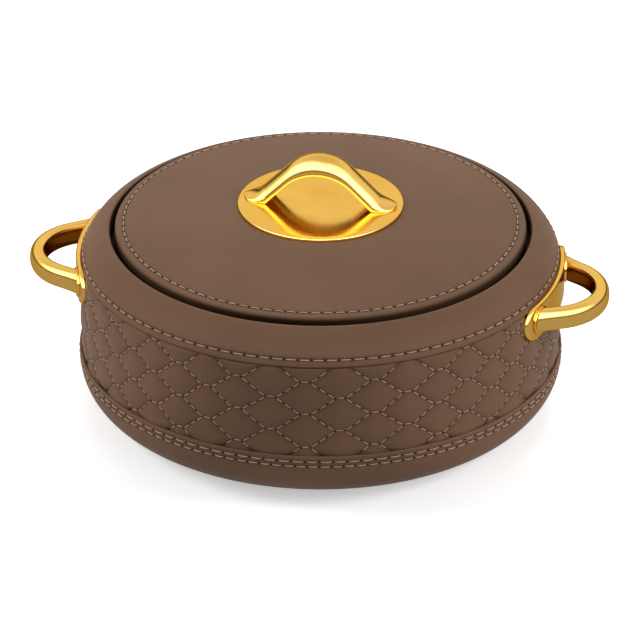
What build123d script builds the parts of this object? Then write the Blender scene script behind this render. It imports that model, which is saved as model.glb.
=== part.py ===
"""Insulated chapati casserole with a lift-off lid, clad in stitched and quilted leather.

Millimetres. +Z is up and the origin is the centre of the resting plane. The side handles
stand out to +X and -X, a little forward (towards -Y) of the middle, and the lid's pull
runs along X.
"""

from build123d import *
import math
import os

os.makedirs("parts", exist_ok=True)

# ---- driving dimensions -------------------------------------------------------------
# Outside of the leather body
WALL_RADIUS = 129.6  # hem of the shoulder leather, carried down the wall
BODY_HEIGHT = 100.0  # underside to the top of the shoulder's rounding
EDGE_RADIUS = 25.0  # rounding of the bottom edge and of the shoulder
FOOT_STAND = 2.0  # how far the rubber feet lift the leather
BAND_HEIGHT = 30.2  # upper edge of the bottom band
BAND_LAP = 9.0  # quilted panel tucked behind the bottom band
HEM_DROP = 18.2  # lower edge of the shoulder leather below the top
HEM_STEP = 0.6  # quilted panel behind the hem
HEM_LAP = 6.5  # quilted panel tucked behind the shoulder leather
SHOULDER_WIDTH = 17.3  # wall to lid opening
MOUTH_ROUNDING = 1.8  # roll of the leather into the lid opening
LEAST_ROUNDING = 0.4  # of the same edge on the layers underneath, and on the lid's
WELL_DEPTH = 13.0  # ledge that carries the bowl's flange, below the top
COLLAR_DROP = 20.2  # joint between collar and tub, below the top

# Layers of the wall, from the outside in
LEATHER = 1.4
BAND_LEATHER = 1.5
WADDING = 2.1
SHELL_WALL = 2.4
COLLAR_WALL = 3.5
SKIN_GAP = 0.1  # clearance between nested layers

# Steel bowl
BOWL_LEDGE = 14.3  # lid opening to the bowl's inside
BOWL_FLANGE = 11.5  # width of the flange beyond the bowl's inside
BOWL_FLOOR_HEIGHT = 15.0  # inside bottom of the bowl above the leather's underside
BOWL_CORNER = 18.0  # inside rounding between wall and floor
BOWL_STEEL = 0.8

# Tub, base cover and feet
BASE_HEM = 33.1  # wall to the inner edge of the band leather under the base
COVER_THICKNESS = 2.5
COVER_PLAY = 0.5
TUB_CORNER = 18.0
FILL_HOLE_RADIUS = 9.0
FOOT_RADIUS = 8.0
FOOT_RECESS = 1.0
FOOT_INSET = 18.5  # foot's axis inside the base hem
BOSS_RADIUS = 4.5
BOSS_INSET = 34.5
BOSS_HEIGHT = 9.0

# Lid
LID_GAP = 2.1
LID_ROUNDING = 2.4
LID_DOME_RADIUS = 492.0
LID_STITCH_INSET = 4.7
LID_STITCH_RISE = 1.1  # above the top of the shoulder
LID_RIM_CLEARANCE = 1.0  # lid rim above the bowl flange
LID_WADDING = 1.9
LID_WADDING_INSET = 8.7
LID_WALL = 2.5
LIP_WIDTH = 1.0
LINER_STEEL = 0.6
LINER_PLAY = 2.0  # round gap between the lid's plug and the bowl
LINER_DEPTH = 10.0
LINER_CORNER = 4.0
LINER_RISE = 2.2  # liner's flange above the bowl's
SEAT_GAP = 0.2  # gasket bead above the bowl flange, uncompressed
BEAD_HEIGHT = 0.7

# Lid pull
PULL_PLATE_RADIUS = 44.5
PULL_PLATE = 1.8
PULL_WIDTH = 17.0
PULL_TOP_RISE = 28.0  # top of the arch above its plate
PULL_TOP_RADIUS = 23.4  # crown of the arch, outside
PULL_SLOPE = 45.0  # sides of the arch, outside, in degrees
PULL_FLARE_RADIUS = 13.0
PULL_LIP = 1.8  # thickness at the toe of the flare
PULL_GAP_RISE = 18.5  # finger gap
PULL_GAP_RADIUS = 25.0
PULL_GAP_HALF = 28.5
PULL_SECTION_HEIGHT = 14.0  # whole ellipse whose upper half rounds the arch
PULL_SCREW_X = 31.0
PULL_BORE = 4.0  # depth of the screw holes in the arch

# Side handles
STRAP = 2.2
STRAP_HEIGHT = 19.4
STRAP_HALF_ANGLE = 19.8
STRAP_EDGE = 0.9
STRAP_SEAT = 0.1  # strap above the quilted panel's mean surface, pressed into its puffs
HANDLE_FORWARD = 4.6  # each handle's turn towards the front, in degrees
HANDLE_DROP = 26.4  # handle's middle below the top
HANDLE_REACH = 28.0  # outermost point beyond the wall
HANDLE_ARC_RADIUS = 29.0
HANDLE_LEG_ANGLE = 28.0  # legs splay from the handle's own axis
HANDLE_THICK = 8.6
HANDLE_TALL = 12.0
HANDLE_OUTER_ROUNDING = 4.2
HANDLE_INNER_ROUNDING = 1.6
HANDLE_FOOT_RADIUS = 8.0
HANDLE_FOOT_RIM = 2.2
HANDLE_FOOT_FLARE = 8.0  # height of the cone above the strap
HANDLE_SCREW_Y = 29.6
HANDLE_BORE = 5.5  # depth of the screw holes in the feet
BRACKET_HALF_LENGTH = 38.0
BRACKET_RISE = 4.6  # upper and lower face of the handle bracket from the handle's middle
BRACKET_DROP = 7.4
BRACKET_THICKNESS = 3.0  # at its thinnest, by its ends

# Fasteners: shank radius, head radius, head height
M4 = (2.0, 4.0, 2.6)
M3 = (1.5, 2.8, 2.0)
BORE_PLAY = 0.1
TIP_PLAY = 0.5  # screw tip to the bottom of its hole
WASHER = 0.8
WASHER_LAP = 0.5  # washer beyond the screw head
POCKET_PLAY = 1.0  # foam stands this far off the fasteners

# Stitch rows on the band, shoulder and lid
THREAD_RADIUS = 0.4
BAND_STITCH_HEIGHTS = (24.3, 27.1)
SHOULDER_STITCH_RISE = 3.5  # above the hem

# ---- places worked out from the driving dimensions ---------------------------------------
BASE = FOOT_STAND  # Z of the leather's underside
TOP = BASE + BODY_HEIGHT
BAND_Z = BASE + BAND_HEIGHT
TUCK_Z = BAND_Z - BAND_LAP
HEM_Z = TOP - HEM_DROP
LAP_Z = HEM_Z + HEM_LAP
COLLAR_Z = TOP - COLLAR_DROP
WELL_Z = TOP - WELL_DEPTH
FLANGE_TOP = WELL_Z + BOWL_STEEL
HANDLE_Z = TOP - HANDLE_DROP
MOUTH_RADIUS = WALL_RADIUS - SHOULDER_WIDTH
BOWL_RADIUS = MOUTH_RADIUS - BOWL_LEDGE
HEM_RADIUS = WALL_RADIUS - BASE_HEM
QUILT_RADIUS = WALL_RADIUS - HEM_STEP
BAND_INSIDE = QUILT_RADIUS + SKIN_GAP
BAND_RADIUS = BAND_INSIDE + BAND_LEATHER
PANEL_INSET = HEM_STEP + LEATHER  # inner face of the quilted panel
LAP_INSET = 2 * (LEATHER + SKIN_GAP)  # collar where the panel is tucked over it
SHELL_RADIUS = WALL_RADIUS - PANEL_INSET - WADDING - 2 * SKIN_GAP
TUB_INSIDE = SHELL_RADIUS - SHELL_WALL
TUB_FLOOR = BASE + COVER_THICKNESS + SHELL_WALL
BOSS_TOP = TUB_FLOOR + BOSS_HEIGHT
SPIGOT = 1.4
MOUTH_WALL = MOUTH_RADIUS + LEATHER + SKIN_GAP
WELL_WALL = MOUTH_WALL + COLLAR_WALL
LID_RADIUS = MOUTH_RADIUS - LID_GAP
LID_STITCH_RADIUS = LID_RADIUS - LID_STITCH_INSET
LID_STITCH_Z = TOP + LID_STITCH_RISE
LID_WADDING_RADIUS = LID_RADIUS - LID_WADDING_INSET
LID_SHELL_INSET = LEATHER + SKIN_GAP
LID_RECESS_INSET = LID_SHELL_INSET + LID_WADDING + SKIN_GAP
LID_CEILING_INSET = LID_RECESS_INSET + LID_WALL
LID_INSIDE = LID_RADIUS - LID_SHELL_INSET - LID_WALL
LID_RIM_Z = FLANGE_TOP + LID_RIM_CLEARANCE
LINER_Z = FLANGE_TOP + LINER_RISE
LINER_RADIUS = BOWL_RADIUS - LINER_PLAY
DOME_CENTRE_Z = LID_STITCH_Z - math.sqrt(LID_DOME_RADIUS**2 - LID_STITCH_RADIUS**2)
LAND_Z = DOME_CENTRE_Z + math.sqrt(LID_DOME_RADIUS**2 - (PULL_PLATE_RADIUS + 1.0) ** 2)
PLATE_TOP = LAND_Z + PULL_PLATE
CEILING_Z = LAND_Z - LID_CEILING_INSET
STRAP_INSIDE = QUILT_RADIUS + STRAP_SEAT
STRAP_OUTSIDE = STRAP_INSIDE + STRAP
FAR = 400.0  # longer than the casserole in every direction


# ---- shared geometry ----------------------------------------------------------------------
def turned(*corners):
    """Solid of revolution about Z from (radius, height[, rounding]) corners of its section."""
    roundings = [corner[2] if len(corner) > 2 else 0.0 for corner in corners]
    points = [(corner[0], corner[1]) for corner in corners]
    outline = FilletPolyline(*points, radius=roundings, close=True)
    return revolve(Plane.XZ * make_face(outline), Axis.Z)


def ring(inside, outside, low, high):
    """Plain ring between two radii and two heights, or a disc where inside is 0."""
    return turned((inside, low), (outside, low), (outside, high), (inside, high))


def rod(radius, low, high, x=0.0, y=0.0):
    """Upright round bar."""
    return Pos(x, y, low) * Cylinder(radius, high - low, align=(Align.CENTER, Align.CENTER, Align.MIN))


def level_rod(radius, near, far, y, z):
    """Round bar along X from near to far."""
    bar = Cylinder(radius, far - near, align=(Align.CENTER, Align.CENTER, Align.MIN))
    return Pos(near, y, z) * Rot(0, 90, 0) * bar


def around(count, radius, first_angle=0.0):
    """Places evenly spaced on a circle."""
    angles = [math.radians(first_angle + 360.0 / count * step) for step in range(count)]
    return [(radius * math.cos(angle), radius * math.sin(angle)) for angle in angles]


def wall_form(inset):
    """Solid inside the wall and rounded shoulder, set in by inset."""
    wall, high = WALL_RADIUS - inset, TOP - inset
    return turned((0, 0), (wall, 0), (wall, high, EDGE_RADIUS - inset), (0, high))


def base_form(inset):
    """Solid inside the band and rounded bottom edge, set in by inset."""
    wall, low = BAND_RADIUS - inset, BASE + inset
    return turned((0, low), (wall, low, EDGE_RADIUS - inset), (wall, TOP), (0, TOP))


def shoulder_radius(z):
    """Radius of the shoulder's outside at a height."""
    rise = z - (TOP - EDGE_RADIUS)
    return WALL_RADIUS - EDGE_RADIUS + math.sqrt(EDGE_RADIUS**2 - rise**2)


def brim(form):
    """Highest full circle among the edges of a turned solid."""
    return form.edges().filter_by(lambda edge: edge.is_closed).sort_by(Axis.Z)[-1]


def shoulder_form(inset):
    """Solid inside the shoulder's outside, set in by inset, with the lid well sunk in it."""
    well = rod(MOUTH_RADIUS + inset, WELL_Z, FAR)
    form = wall_form(inset) - well
    return fillet(brim(form), max(MOUTH_ROUNDING - inset, LEAST_ROUNDING))


def lid_form(inset):
    """Solid inside the lid's domed outside, set in by inset, down to the lid's rim."""
    dome = Pos(0, 0, DOME_CENTRE_Z) * Sphere(LID_DOME_RADIUS - inset)
    form = rod(LID_RADIUS - inset, LID_RIM_Z, FAR) & dome
    form = fillet(brim(form), max(LID_ROUNDING - inset, LEAST_ROUNDING))
    return form - rod(LID_RADIUS, LAND_Z - inset, FAR)


def stitch_ring(radius, z, thickness):
    """Torus for a row of stitching, or for the groove that it lies in."""
    return Pos(0, 0, z) * Torus(radius, thickness)


def right_side(part):
    """A handle's part, drawn along +X, turned to its place on the right."""
    return Rot(0, 0, -HANDLE_FORWARD) * part


def left_side(part):
    """The same part on the left, mirrored as the two handles are."""
    return mirror(right_side(part), Plane.YZ)


def side_bores(radius):
    """The bores for all four handle screws."""
    return right_side(handle_bores(radius)) + left_side(handle_bores(radius))


# ---- body: leather ------------------------------------------------------------------------
def band_stitch_places():
    return [(BAND_RADIUS, BASE + height) for height in BAND_STITCH_HEIGHTS]


def shoulder_stitch_place():
    z = HEM_Z + SHOULDER_STITCH_RISE
    return shoulder_radius(z), z


def bottom_band():
    """Plain leather round the bottom edge, turned under the base."""
    skin = turned(
        (HEM_RADIUS, BASE),
        (BAND_RADIUS, BASE, EDGE_RADIUS),
        (BAND_RADIUS, BAND_Z, 0.5),
        (BAND_INSIDE, BAND_Z),
        (BAND_INSIDE, BASE + BAND_LEATHER, EDGE_RADIUS - BAND_LEATHER),
        (HEM_RADIUS, BASE + BAND_LEATHER),
    )
    for radius, z in band_stitch_places():
        skin -= stitch_ring(radius, z, THREAD_RADIUS + SKIN_GAP)
    return skin


def quilted_wall():
    """Quilted panel, set back where it is tucked behind the shoulder leather."""
    lap_out = LEATHER + SKIN_GAP
    panel = wall_form(HEM_STEP) - wall_form(PANEL_INSET)
    lap = wall_form(lap_out) - wall_form(lap_out + LEATHER)
    panel &= base_form(BAND_LEATHER + SKIN_GAP) - ring(0, FAR, -FAR, TUCK_Z)
    panel -= ring(0, FAR, HEM_Z - SKIN_GAP, FAR)
    lap &= ring(0, FAR, HEM_Z - LEATHER, LAP_Z)
    return panel + lap - side_bores(M4[0] + BORE_PLAY)


def wall_wadding():
    """Soft wadding behind the quilted panel."""
    pad = wall_form(PANEL_INSET + SKIN_GAP)
    pad &= ring(SHELL_RADIUS + SKIN_GAP, FAR, TUCK_Z, COLLAR_Z - SKIN_GAP)
    return pad - side_bores(M4[0] + BORE_PLAY)


def shoulder_leather():
    """Leather over the rounded shoulder, rolled into the lid well."""
    skin = shoulder_form(0) - shoulder_form(LEATHER)
    skin -= ring(0, FAR, -FAR, HEM_Z)
    skin -= ring(0, MOUTH_RADIUS + LEATHER, -FAR, FLANGE_TOP + 0.5)
    return skin - stitch_ring(*shoulder_stitch_place(), THREAD_RADIUS + SKIN_GAP)


def shoulder_stitching():
    return stitch_ring(*shoulder_stitch_place(), THREAD_RADIUS)


def band_stitching():
    return [stitch_ring(radius, z, THREAD_RADIUS) for radius, z in band_stitch_places()]


# ---- body: mouldings, bowl and foam ---------------------------------------------------------
def shoulder_collar():
    """Moulded collar: shoulder, lid well and the ledge for the bowl, hollow underneath."""
    outside = LEATHER + SKIN_GAP
    collar = shoulder_form(outside) - ring(0, FAR, -FAR, COLLAR_Z)
    collar -= wall_form(outside + COLLAR_WALL) - rod(WELL_WALL, -FAR, FAR)
    collar -= rod(WELL_WALL, -FAR, WELL_Z - SHELL_WALL)
    collar -= rod(BOWL_RADIUS + BOWL_STEEL + SKIN_GAP, -FAR, FAR)
    collar -= ring(0, FAR, COLLAR_Z, LAP_Z + SKIN_GAP) - wall_form(LAP_INSET)
    spigot = TUB_INSIDE - SKIN_GAP
    flange_in = spigot - SHELL_WALL
    return collar + turned(
        (flange_in, COLLAR_Z - SPIGOT),
        (spigot, COLLAR_Z - SPIGOT),
        (spigot, COLLAR_Z),
        (SHELL_RADIUS, COLLAR_Z),
        (SHELL_RADIUS, COLLAR_Z + SHELL_WALL),
        (flange_in, COLLAR_Z + SHELL_WALL),
    )


def tub_cavity():
    """Space inside the tub, up to the collar."""
    corner = (TUB_INSIDE, TUB_FLOOR, TUB_CORNER)
    return turned((0, TUB_FLOOR), corner, (TUB_INSIDE, COLLAR_Z), (0, COLLAR_Z))


def outer_tub():
    """Moulded tub with a recess for the quilted panel and four bosses for the base cover."""
    tub = base_form(BAND_LEATHER + SKIN_GAP) - ring(0, FAR, TUCK_Z - SKIN_GAP, FAR)
    tub += ring(0, SHELL_RADIUS, TUCK_Z - 1, COLLAR_Z)
    tub -= tub_cavity()
    tub -= rod(HEM_RADIUS, -FAR, BASE + COVER_THICKNESS)
    for x, y in boss_places():
        tub += rod(BOSS_RADIUS, TUB_FLOOR - 1, BOSS_TOP, x, y)
    for x, y in boss_places():
        tub -= rod(M3[0] + BORE_PLAY, 0, BOSS_TOP - BOSS_RADIUS / 3, x, y)
    tub -= rod(FILL_HOLE_RADIUS, 0, TUB_FLOOR + 1)
    return tub - side_bores(M4[0] + BORE_PLAY)


def bowl_blank(inset):
    """Solid inside the bowl's steel, set in by inset from its outside."""
    wall = BOWL_RADIUS + BOWL_STEEL - inset
    low = BASE + BOWL_FLOOR_HEIGHT - BOWL_STEEL + inset
    corner = (wall, low, BOWL_CORNER + BOWL_STEEL - inset)
    return turned((0, low), corner, (wall, FLANGE_TOP), (0, FLANGE_TOP))


def inner_bowl():
    """Drawn steel bowl with a flat flange that lies on the collar's ledge."""
    flange = ring(BOWL_RADIUS, BOWL_RADIUS + BOWL_FLANGE, WELL_Z, FLANGE_TOP)
    return bowl_blank(0) + flange - bowl_blank(BOWL_STEEL)


def body_insulation():
    """Foam that fills the space between tub, collar and bowl."""
    channel = wall_form(LEATHER + COLLAR_WALL + 2 * SKIN_GAP)
    channel &= ring(WELL_WALL + SKIN_GAP, FAR, COLLAR_Z + SHELL_WALL + SKIN_GAP, FAR)
    outside = TUB_INSIDE - SKIN_GAP
    neck = TUB_INSIDE - SHELL_WALL - 2 * SKIN_GAP
    foam = turned(
        (0, TUB_FLOOR + SKIN_GAP),
        (outside, TUB_FLOOR + SKIN_GAP, TUB_CORNER),
        (outside, COLLAR_Z - SPIGOT - SKIN_GAP),
        (neck, COLLAR_Z - SPIGOT - SKIN_GAP),
        (neck, WELL_Z - SHELL_WALL - SKIN_GAP),
        (0, WELL_Z - SHELL_WALL - SKIN_GAP),
    )
    foam += channel
    foam -= bowl_blank(-SKIN_GAP)
    for x, y in boss_places():
        foam -= rod(BOSS_RADIUS + SKIN_GAP, 0, BOSS_TOP + SKIN_GAP, x, y)
    pocket = handle_pocket()
    return foam - right_side(pocket) - left_side(pocket)


def boss_places():
    return around(4, HEM_RADIUS - BOSS_INSET)


def countersink(radius, x, y):
    """Screw head, or the seat for it, from the base cover's face upwards."""
    height = M3[1] - M3[0]
    return Pos(x, y, BASE + height / 2) * Cone(radius, radius - height, height)


def base_cover():
    """Disc under the base that closes the foam filling hole and holds the feet."""
    cover = ring(0, HEM_RADIUS - COVER_PLAY, BASE, BASE + COVER_THICKNESS - SKIN_GAP)
    for x, y in foot_places():
        cover -= rod(FOOT_RADIUS + SKIN_GAP, 0, BASE + FOOT_RECESS, x, y)
    for x, y in boss_places():
        cover -= rod(M3[0] + BORE_PLAY, 0, FAR, x, y) + countersink(M3[1] + BORE_PLAY, x, y)
    return cover


def base_screws():
    """Four countersunk screws up into the tub's bosses."""
    tip = BOSS_TOP - BOSS_RADIUS / 3 - TIP_PLAY
    return [countersink(M3[1], x, y) + rod(M3[0], BASE + TIP_PLAY, tip, x, y) for x, y in boss_places()]


def foot_places():
    return around(4, HEM_RADIUS - FOOT_INSET, 45)


def foot(x, y):
    """Round rubber foot set in the base cover."""
    high = BASE + FOOT_RECESS
    return Pos(x, y, 0) * turned((0, 0), (FOOT_RADIUS, 0, 0.8), (FOOT_RADIUS, high), (0, high))


# ---- side handles ---------------------------------------------------------------------------
def handle_strap():
    """Curved plate with round ends that follows the wall, drawn along +X."""
    length = 2 * STRAP_OUTSIDE * math.sin(math.radians(STRAP_HALF_ANGLE))
    band = ring(STRAP_INSIDE, STRAP_OUTSIDE, HANDLE_Z - STRAP_HEIGHT, HANDLE_Z + STRAP_HEIGHT)
    side = Plane(origin=(0, 0, HANDLE_Z), x_dir=(0, 1, 0), z_dir=(1, 0, 0))
    strap = band & extrude(side * SlotOverall(length, STRAP_HEIGHT), FAR)
    rim = [edge for edge in strap.edges() if least_radius(edge) > STRAP_OUTSIDE - 0.01]
    return fillet(rim, STRAP_EDGE) - handle_bores(M4[0] + BORE_PLAY)


def least_radius(edge):
    """Smallest distance of an edge's sampled points from the body's axis."""
    places = [edge @ (step / 4) for step in range(5)]
    return min(math.hypot(place.X, place.Y) for place in places)


def leg_direction():
    """Direction in plan of the handle's +Y leg, from its foot to its arc."""
    angle = math.radians(HANDLE_LEG_ANGLE)
    return Vector(math.cos(angle), -math.sin(angle), 0)


def leg_top():
    """Where the +Y leg of the handle's centreline runs into its arc."""
    angle = math.radians(90 - HANDLE_LEG_ANGLE)
    centre_x = WALL_RADIUS + HANDLE_REACH - HANDLE_THICK / 2 - HANDLE_ARC_RADIUS
    x = centre_x + HANDLE_ARC_RADIUS * math.cos(angle)
    return Vector(x, HANDLE_ARC_RADIUS * math.sin(angle), HANDLE_Z)


def leg_foot(radius):
    """Where the +Y leg's centreline, carried towards the body, meets a radius."""
    top, along = leg_top(), leg_direction()
    nearest = top.X * along.X + top.Y * along.Y
    back = nearest - math.sqrt(nearest**2 - top.X**2 - top.Y**2 + radius**2)
    return top - along * back


def handle_path():
    """Centreline of the loop: a straight leg, an arc and a straight leg."""
    top, root = leg_top(), leg_foot(STRAP_INSIDE)
    tip_x = WALL_RADIUS + HANDLE_REACH - HANDLE_THICK / 2
    other_top, other_root = Vector(top.X, -top.Y, HANDLE_Z), Vector(root.X, -root.Y, HANDLE_Z)
    arc = ThreePointArc(top, (tip_x, 0, HANDLE_Z), other_top)
    return Line(root, top) + arc + Line(other_top, other_root)


def handle_section():
    """D-shaped section at the +Y root: flat towards the body and round outside."""
    half, tall = HANDLE_THICK / 2, HANDLE_TALL / 2
    roundings = [HANDLE_INNER_ROUNDING] * 2 + [HANDLE_OUTER_ROUNDING] * 2
    corners = [(-half, -tall), (-half, tall), (half, tall), (half, -tall)]
    outline = FilletPolyline(*corners, radius=roundings, close=True)
    along = leg_direction()
    outward = Vector(-along.Y, along.X, 0)
    return Plane(origin=leg_foot(STRAP_INSIDE), x_dir=outward, z_dir=along) * make_face(outline)


def handle_foot():
    """Round rim on the strap and the cone from it into the +Y leg."""
    root = leg_foot(STRAP_OUTSIDE)
    rim = turned(
        (0, -STRAP),
        (HANDLE_FOOT_RADIUS, -STRAP),
        (HANDLE_FOOT_RADIUS, HANDLE_FOOT_RIM, HANDLE_FOOT_RIM / 2),
        (0, HANDLE_FOOT_RIM),
    )
    flare = Cone(HANDLE_FOOT_RADIUS - 1, HANDLE_THICK / 2 - 0.3, HANDLE_FOOT_FLARE)
    flare = Plane(origin=root, z_dir=leg_direction()) * Pos(0, 0, HANDLE_FOOT_FLARE / 2) * flare
    outward = Vector(root.X, root.Y, 0)
    return Plane(origin=root, z_dir=outward) * rim + flare


def handle_loop():
    """Cast D-shaped handle with flared feet, cut to sit on its strap."""
    loop = sweep(handle_section(), path=handle_path())
    loop += handle_foot()
    loop += mirror(handle_foot(), Plane.XZ)
    loop -= rod(STRAP_OUTSIDE + SKIN_GAP / 2, -FAR, FAR)
    for y in (-HANDLE_SCREW_Y, HANDLE_SCREW_Y):
        loop -= level_rod(M4[0] + BORE_PLAY / 2, 0, handle_bore_end(), y, HANDLE_Z)
    return loop


def handle_bore_end():
    """X of the bottom of the screw holes in the handle's feet."""
    return math.sqrt(STRAP_OUTSIDE**2 - HANDLE_SCREW_Y**2) + HANDLE_BORE


def bracket_flat_x():
    """X of the flat inner face of the handle bracket."""
    wall = TUB_INSIDE - SKIN_GAP
    return math.sqrt(wall**2 - BRACKET_HALF_LENGTH**2) - BRACKET_THICKNESS


def bracket_block(near, play):
    """Block from near outwards, as long and high as the handle bracket, larger all round by play."""
    half, high = BRACKET_HALF_LENGTH + play, BRACKET_DROP + BRACKET_RISE + 2 * play
    corner = (Align.MIN, Align.CENTER, Align.MIN)
    return Pos(near, 0, HANDLE_Z - BRACKET_DROP - play) * Box(FAR, 2 * half, high, align=corner)


def handle_bracket():
    """Backing block that spreads the screws' load over the inside of the tub."""
    block = bracket_block(bracket_flat_x(), 0) & rod(TUB_INSIDE - SKIN_GAP, -FAR, FAR)
    return block - handle_bores(M4[0] + BORE_PLAY)


def handle_pocket():
    """Space left in the foam round one handle's bracket, washers and screw heads."""
    return bracket_block(bracket_flat_x() - WASHER - M4[2] - POCKET_PLAY, SKIN_GAP)


def handle_screws():
    """Two pan-head screws at each handle, from inside the tub into the handle's feet."""
    screws = []
    seat = bracket_flat_x() - WASHER
    for y in (-HANDLE_SCREW_Y, HANDLE_SCREW_Y):
        head = level_rod(M4[1], seat - M4[2], seat, y, HANDLE_Z)
        screw = head + level_rod(M4[0], seat - 1, handle_bore_end() - TIP_PLAY, y, HANDLE_Z)
        screws += [right_side(screw), left_side(screw)]
    return screws


def handle_washers():
    washers = []
    seat = bracket_flat_x() - WASHER
    for y in (-HANDLE_SCREW_Y, HANDLE_SCREW_Y):
        washer = level_rod(M4[1] + WASHER_LAP, seat, seat + WASHER, y, HANDLE_Z)
        washer -= handle_bores(M4[0] + BORE_PLAY)
        washers += [right_side(washer), left_side(washer)]
    return washers


def handle_bores(radius):
    """Two bores for the screws of one handle, drawn along +X."""
    bores = [level_rod(radius, 0, FAR, y, HANDLE_Z) for y in (-HANDLE_SCREW_Y, HANDLE_SCREW_Y)]
    return bores[0] + bores[1]


# ---- lid --------------------------------------------------------------------------------------
def pull_screw_bores(radius):
    return rod(radius, 0, FAR, PULL_SCREW_X) + rod(radius, 0, FAR, -PULL_SCREW_X)


def lid_leather():
    """Leather over the domed lid, down to its rim."""
    skin = lid_form(0) - lid_form(LEATHER)
    skin -= stitch_ring(LID_STITCH_RADIUS, LID_STITCH_Z, THREAD_RADIUS + SKIN_GAP)
    return skin - pull_screw_bores(M3[0] + BORE_PLAY)


def lid_stitching():
    return stitch_ring(LID_STITCH_RADIUS, LID_STITCH_Z, THREAD_RADIUS)


def lid_wadding():
    """Soft disc under the lid leather."""
    pad = lid_form(LID_SHELL_INSET) - lid_form(LID_SHELL_INSET + LID_WADDING)
    pad &= rod(LID_WADDING_RADIUS, LID_RIM_Z, FAR)
    return pad - pull_screw_bores(M3[0] + BORE_PLAY)


def lid_hollow(inset, low):
    """Space under the lid shell's ceiling, inside its rim, set in by inset, from low upwards."""
    dome = Pos(0, 0, DOME_CENTRE_Z) * Sphere(LID_DOME_RADIUS - LID_CEILING_INSET - inset)
    space = rod(LID_INSIDE - inset, low, FAR) & dome
    return space - rod(LID_RADIUS, CEILING_Z - inset, FAR)


def lid_shell():
    """Moulded lid with a recess for the wadding and a snap lip for the liner."""
    shell = lid_form(LID_SHELL_INSET) - lid_hollow(0, LID_RIM_Z - 1)
    shell -= rod(LID_WADDING_RADIUS + SKIN_GAP, LID_RIM_Z, FAR) - lid_form(LID_RECESS_INSET)
    lip = turned(
        (LID_INSIDE - LIP_WIDTH, LID_RIM_Z + 0.4),
        (LID_INSIDE + 1, LID_RIM_Z),
        (LID_INSIDE + 1, LINER_Z - SKIN_GAP),
        (LID_INSIDE - LIP_WIDTH, LINER_Z - SKIN_GAP),
    )
    return shell + lip - pull_screw_bores(M3[0] + BORE_PLAY)


def lid_liner():
    """Steel pan that closes the lid underneath and plugs the bowl."""
    low = LINER_Z - LINER_DEPTH
    inner = LINER_RADIUS - LINER_STEEL
    return turned(
        (0, low),
        (LINER_RADIUS, low, LINER_CORNER),
        (LINER_RADIUS, LINER_Z),
        (LID_INSIDE - SKIN_GAP, LINER_Z),
        (LID_INSIDE - SKIN_GAP, LINER_Z + LINER_STEEL),
        (inner, LINER_Z + LINER_STEEL),
        (inner, low + LINER_STEEL, LINER_CORNER - LINER_STEEL),
        (0, low + LINER_STEEL),
    )


def lid_gasket():
    """Silicone ring under the liner's flange, with a bead that seals on the bowl's flange."""
    inside, outside = LINER_RADIUS + SKIN_GAP, LID_INSIDE - LIP_WIDTH - 2 * SKIN_GAP
    low = FLANGE_TOP + SEAT_GAP
    middle = (BOWL_RADIUS + outside) / 2
    return turned(
        (inside, low + BEAD_HEIGHT),
        (middle - 1.5, low + BEAD_HEIGHT),
        (middle - 1.0, low, 0.5),
        (middle + 1.0, low, 0.5),
        (middle + 1.5, low + BEAD_HEIGHT),
        (outside, low + BEAD_HEIGHT),
        (outside, LINER_Z),
        (inside, LINER_Z),
    )


def lid_insulation():
    """Foam between the lid shell and the liner."""
    low = LINER_Z - LINER_DEPTH + LINER_STEEL + SKIN_GAP
    flange = LINER_Z + LINER_STEEL + SKIN_GAP
    plug = LINER_RADIUS - LINER_STEEL - SKIN_GAP
    foam = turned((0, low), (plug, low, LINER_CORNER - LINER_STEEL), (plug, flange + 1), (0, flange + 1))
    foam += lid_hollow(SKIN_GAP, flange)
    for x in (-PULL_SCREW_X, PULL_SCREW_X):
        foam -= rod(M3[1] + POCKET_PLAY, CEILING_Z - WASHER - M3[2] - POCKET_PLAY, FAR, x)
    return foam


def pull_plate():
    """Round polished plate under the arch."""
    plate = turned(
        (0, LAND_Z),
        (PULL_PLATE_RADIUS, LAND_Z, 0.3),
        (PULL_PLATE_RADIUS, PLATE_TOP, PULL_PLATE / 2),
        (0, PLATE_TOP),
    )
    return plate - pull_screw_bores(M3[0] + BORE_PLAY)


def arch_toe():
    """X of the arch's toe, where its flare runs out level with the plate."""
    slope = math.radians(PULL_SLOPE)
    crown_x = PULL_TOP_RADIUS * math.sin(slope)
    crown_z = PULL_TOP_RISE - PULL_TOP_RADIUS * (1 - math.cos(slope))
    flare_z = PULL_LIP + PULL_FLARE_RADIUS * (1 - math.cos(slope))
    return crown_x + (crown_z - flare_z) / math.tan(slope) + PULL_FLARE_RADIUS * math.sin(slope)


def arch_curve(depth):
    """Arch's outside in side view above its plate, set in by depth, from toe to toe."""
    toe, slope = arch_toe(), math.radians(PULL_SLOPE)
    crown, flare = PULL_TOP_RADIUS - depth, PULL_FLARE_RADIUS + depth

    def on_crown(angle):
        return crown * math.sin(angle), PULL_TOP_RISE - PULL_TOP_RADIUS + crown * math.cos(angle)

    def on_flare(angle):
        return toe - flare * math.sin(angle), PULL_LIP + PULL_FLARE_RADIUS - flare * math.cos(angle)

    top = ThreePointArc(on_crown(-slope), on_crown(0), on_crown(slope))
    side = Line(on_crown(slope), on_flare(slope))
    end = ThreePointArc(on_flare(slope), on_flare(slope / 2), on_flare(0))
    return [end.mirror(Plane.YZ), side.mirror(Plane.YZ), top, side, end]


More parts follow.
